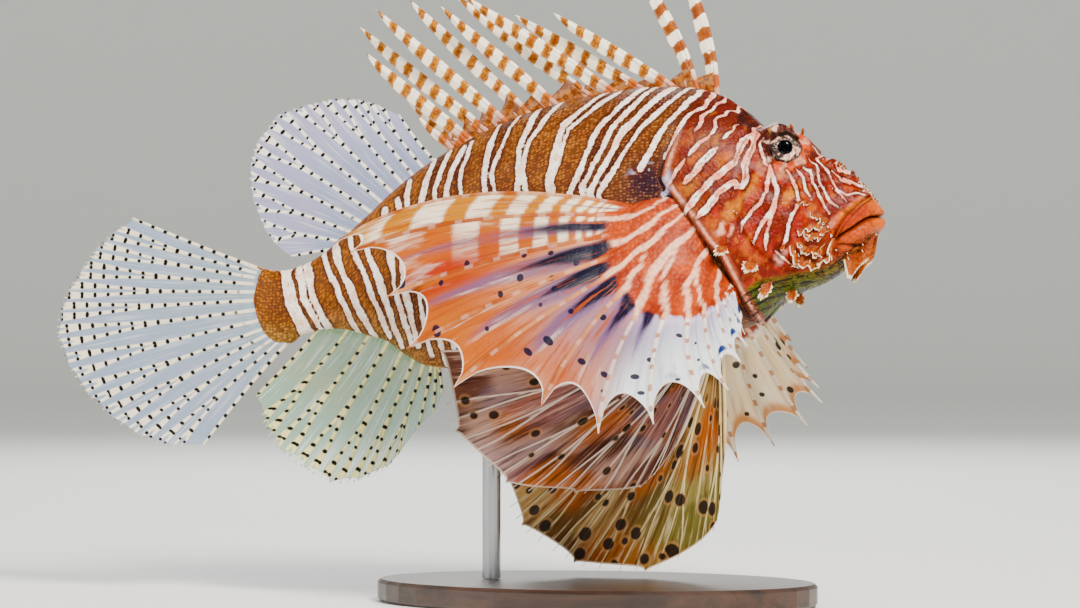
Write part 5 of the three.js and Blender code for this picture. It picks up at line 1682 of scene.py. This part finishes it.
# Ruffled ribbons of skin: side-view line, height, ruffles, turn, lean out, and how deep the ruffles are
FRILLS = [
    ([(92.4, 17.6), (94, 14.4), (98, 12.6), (102, 12.8), (105, 15.6), (106, 20)], 4.2, 4, 262, 26, 0.8),
    ([(95, 22), (98, 24.8), (102, 25.4), (105, 22.4)], 3.8, 3, 258, 30, 0.8),
    ([(94.6, 19.4), (97.6, 17.2), (101, 16.6), (104, 19)], 4.0, 3, 262, 28, 0.8),
    ([(96.8, 21.8), (100, 22.4), (103.4, 21)], 3.4, 3, 258, 32, 0.8),
    ([(98.6, 28.6), (101.4, 28.2), (104.4, 25.6)], 2.8, 3, 258, 34, 0.8),
    ([(93.5, 31.6), (96, 32.8), (98.8, 32)], 2.0, 3, 255, 34, 0.8),
    ([(118.8, 21.0), (117.4, 18.2), (114.4, 16.2), (110, 14.4)], 9.6, 1, 270, 9, 0.35),
    ([(108.6, 46.4), (106, 47.4), (103.4, 48.4)], 1.1, 4, 85, 30, 1),
    ([(118, 38.4), (115, 40.4), (112.4, 42)], 1.0, 5, 80, 30, 1),
    ([(80.6, 54.2), (82.4, 57.4), (86, 59), (90, 58.8), (93.6, 56.6)], 1.3, 9, 90, 8, 1),
]
TOWARDS = (0.2, 1, 0.1)


def flap(piece, x, z, length, width, turn, out, twigs, side, seed):
    """A narrow feeler with leafy twigs."""
    local = np.random.default_rng(seed)
    heading = aim(float(turn), float(out), side)
    root = np.array([x, side * (float(side_of(x, z)) + 0.3), z])
    sway = unit(np.cross(heading, [0, 1, 0.2]))
    bend = 0.16 * length
    steps = np.linspace(-0.25, 1, 12)
    share = np.clip(steps, 0, 1)
    swing = bend * np.sin(steps * 2.4) * smoothstep(steps)
    path = root + heading * (steps * length)[:, None] + sway * swing[:, None]
    belly = 0.85 + 0.5 * np.sin(share * math.pi) ** 1.2
    radius = width * 0.5 * belly * (1 - 0.72 * rise(steps, 0.55, 0.45))
    tube(piece, path, radius, 10, 0.42, TOWARDS, tip=share, pale=0 * steps)
    s = np.linspace(0, 1, 5)
    for k in range(twigs):
        at = local.uniform(0.25, 0.98)
        start = root + heading * at * length + sway * bend * math.sin(at * 2.4) * float(smoothstep(at))
        ahead = heading * local.uniform(0.3, 1.0)
        aside = sway * local.choice([-1, 1]) * local.uniform(0.6, 1.3)
        way = unit(ahead + aside + local.normal(0, 0.3, 3))
        reach = width * local.uniform(0.7, 1.25)
        twig, radius = start + way * (s * reach)[:, None], width * 0.19 * (1.05 - s)
        tube(piece, twig, radius, 6, 0.8, TOWARDS, tip=at * 0.4 + 0.6 * s, pale=0.3 + 0.7 * s)


def leaf(piece, x, z, length, width, turn, out, teeth, side, seed):
    """A broad, cupped lappet with a toothed edge."""
    phase = np.random.default_rng(seed).uniform(0, 6)
    heading = aim(float(turn), float(out), side)
    root = np.array([x, side * (float(side_of(x, z)) + 0.2), z])
    sway = unit(np.cross(heading, [0, side, 0]))
    normal = unit(np.cross(heading, sway))
    down, over = np.meshgrid(np.linspace(0, 1, 26), np.linspace(-1, 1, 23), indexing="ij")
    half = 0.5 * width * mix(0.3, 1.0, smoothstep(down / 0.5)) * np.sqrt(1 - 0.8 * down**3)
    toothed = 1 + 0.2 * np.abs(over) ** 3 * np.sin(down * teeth * 4.3 + phase + over)
    ragged = 0.1 * down**3 * np.sin(over * teeth * 1.9 + phase)
    reach = length * (down - 0.16 * over**2 * down + ragged) - 0.6
    cup = width * down * (0.22 * over**2 + 0.14 * np.sin(3.6 * over + 3 * down + phase))
    aside = over * half * toothed
    sheet = root + heading * reach[..., None] + sway * aside[..., None] + normal * cup[..., None]
    pale = np.clip(np.maximum(np.abs(over) ** 3 * smoothstep(down / 0.3), down**4), 0, 1)
    closed_sheet(piece, sheet, normal * mix(0.34, 0.13, down)[..., None], tip=down, pale=pale)


def on_side(x, z):
    """The nearest place that lies on the body's side, in from its outline."""
    x = np.minimum(x, 118.8)
    return x, np.clip(z, through(BELLY, x) + 0.5, through(BACK, x) - 0.5)


def frill(piece, line, height, ruffles, turn, out, depth, side, seed):
    """A ruffled ribbon that stands on the skin along a line."""
    line = np.asarray(line, float)
    steps = np.concatenate([[0], np.cumsum(np.hypot(*np.diff(line, axis=0).T))])
    count, levels = max(18 * ruffles, 44), 9
    at = np.linspace(0, steps[-1], count)
    x, z = on_side(np.interp(at, steps, line[:, 0]), np.interp(at, steps, line[:, 1]))
    root = np.stack([x, side * (side_of(x, z) + 0.25), z], -1)
    heading = aim(float(turn), float(out), side)
    across = unit(np.cross(heading, unit(np.gradient(root, axis=0))))
    share = at / steps[-1]
    start = np.random.default_rng(seed).uniform(0, 6)
    wave = np.sin(share * ruffles * 2 * math.pi + start) + 0.5 * np.sin(share * ruffles * 4.7 + 1)
    ragged = 0.86 + 0.2 * depth * np.sin(share * ruffles * 10.7) + 0.05 * np.sin(share * 95)
    tall = height * smoothstep(np.minimum(share, 1 - share) / 0.16 + 0.15) * ragged
    up = np.linspace(-0.25, 1, levels)
    risen = np.clip(up, 0, 1)
    swing = 0.3 * depth * height**0.8 * wave[:, None] * risen**1.2
    sheet = root[:, None] + heading * (up * tall[:, None])[..., None] + across[:, None] * swing[..., None]
    sheet[..., 0] -= 0.2 * height * risen**2
    edge = np.tile(risen, (count, 1))
    closed_sheet(piece, sheet, across[:, None] * mix(0.3, 0.12, risen)[None, :, None], tip=edge, pale=edge**6)


def outward(x, z, side):
    """The way the body's side faces."""
    step = 0.4
    slope = lambda dx, dz: (float(side_of(x - dx, z - dz)) - float(side_of(x + dx, z + dz))) / (2 * step)
    return unit(np.array([slope(step, 0), side, slope(0, step)]))


def fringe(piece, line, count, size, side, seed):
    """Small warts and threads scattered along a line."""
    local = np.random.default_rng(seed)
    line = np.asarray(line, float)
    steps = np.concatenate([[0], np.cumsum(np.hypot(*np.diff(line, axis=0).T))])
    s = np.linspace(-0.4, 1, 6)
    share = np.clip(s, 0, 1)
    for at in np.sort(local.uniform(0, steps[-1], count)):
        x, z = on_side(
            np.interp(at, steps, line[:, 0]) + local.normal(0, 0.45),
            np.interp(at, steps, line[:, 1]) + local.normal(0, 0.45),
        )
        root = np.array([x, side * (float(side_of(x, z)) + 0.2), z])
        way = unit(outward(x, z, side) + np.array([0.1, 0, -0.35]) + local.normal(0, 0.3, 3))
        long = size * local.uniform(0.7, 1.5)
        droop = np.array([0, 0, -0.25]) * long
        path = root + way * (s * long)[:, None] + droop * (share**2)[:, None]
        tube(piece, path, size * 0.34 * (1.12 - 0.85 * share), 7, 0.8, TOWARDS, tip=share, pale=share)


def flap_paint():
    p = Paint("head_flaps")
    grain = p.noise(p.place(), 1.1)
    tip, pale = p.values("tip pale")
    p.shade = p.mix(p.ramp(grain, 0.4, 0.6), "#8c3400", "#b06000")
    p.lay("#4c1402", p.ramp(grain, 0.58, 0.64), 0.85)
    # Darker towards the root: painted shade where the flaps meet the skin
    p.lay("#6c1e02", p.ramp(tip, 0.6, 0.1), 0.7)
    p.lay("#fff0cc", p.ramp(pale, 0.3, 0.85), 0.92)
    p.lay("#fff0d4", p.ramp(tip, 0.86, 1.0), 0.6)
    return p.finish(p.moist(grain, 0.4))


def head_flaps():
    piece = Piece("head_flaps")
    for side in (-1, 1):
        for k, row in enumerate(FLAPS):
            make = leaf if row[3] > BROAD_FLAP else flap
            make(piece, *row, side, 100 + k)
        for k, row in enumerate(FRINGES):
            fringe(piece, *row, side, 200 + k)
        for k, row in enumerate(FRILLS):
            frill(piece, *row, side, 300 + k)
    return piece


head_flaps().build([flap_paint()], (), "skin")


# The display stand keeps its solids: dark stained wood and brushed steel
def wood_paint():
    p = Paint("stand_base")
    place = p.place()
    rings = p.noise(p.stretch(place, (0.012, 0.16, 0.16)), 1.0, 5, 0.6)
    fine = p.noise(p.stretch(place, (0.05, 1.3, 1.3)))
    p.shade = p.mix(p.ramp(rings, 0.35, 0.65), "#2b1b12", "#4a3020")
    p.lay("#1c110b", p.ramp(fine, 0.5, 0.7), 0.35)
    return p.finish(p.principled(0.38, p.bump(fine, 0.08), Coat_Weight=0.25, Coat_Roughness=0.2))


def steel_paint():
    p = Paint("stand_rod")
    brushed = p.noise(p.stretch(p.place(), (3.0, 3.0, 0.05)))
    p.shade = p.mix(brushed, "#8f9296", "#c9ccd0")
    return p.finish(p.principled(0.3, p.bump(brushed, 0.03), Metallic=0.95))


for name, paint in (("stand_base", wood_paint()), ("stand_rod", steel_paint())):
    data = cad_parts[name].data
    data.materials.clear()
    data.materials.append(paint)
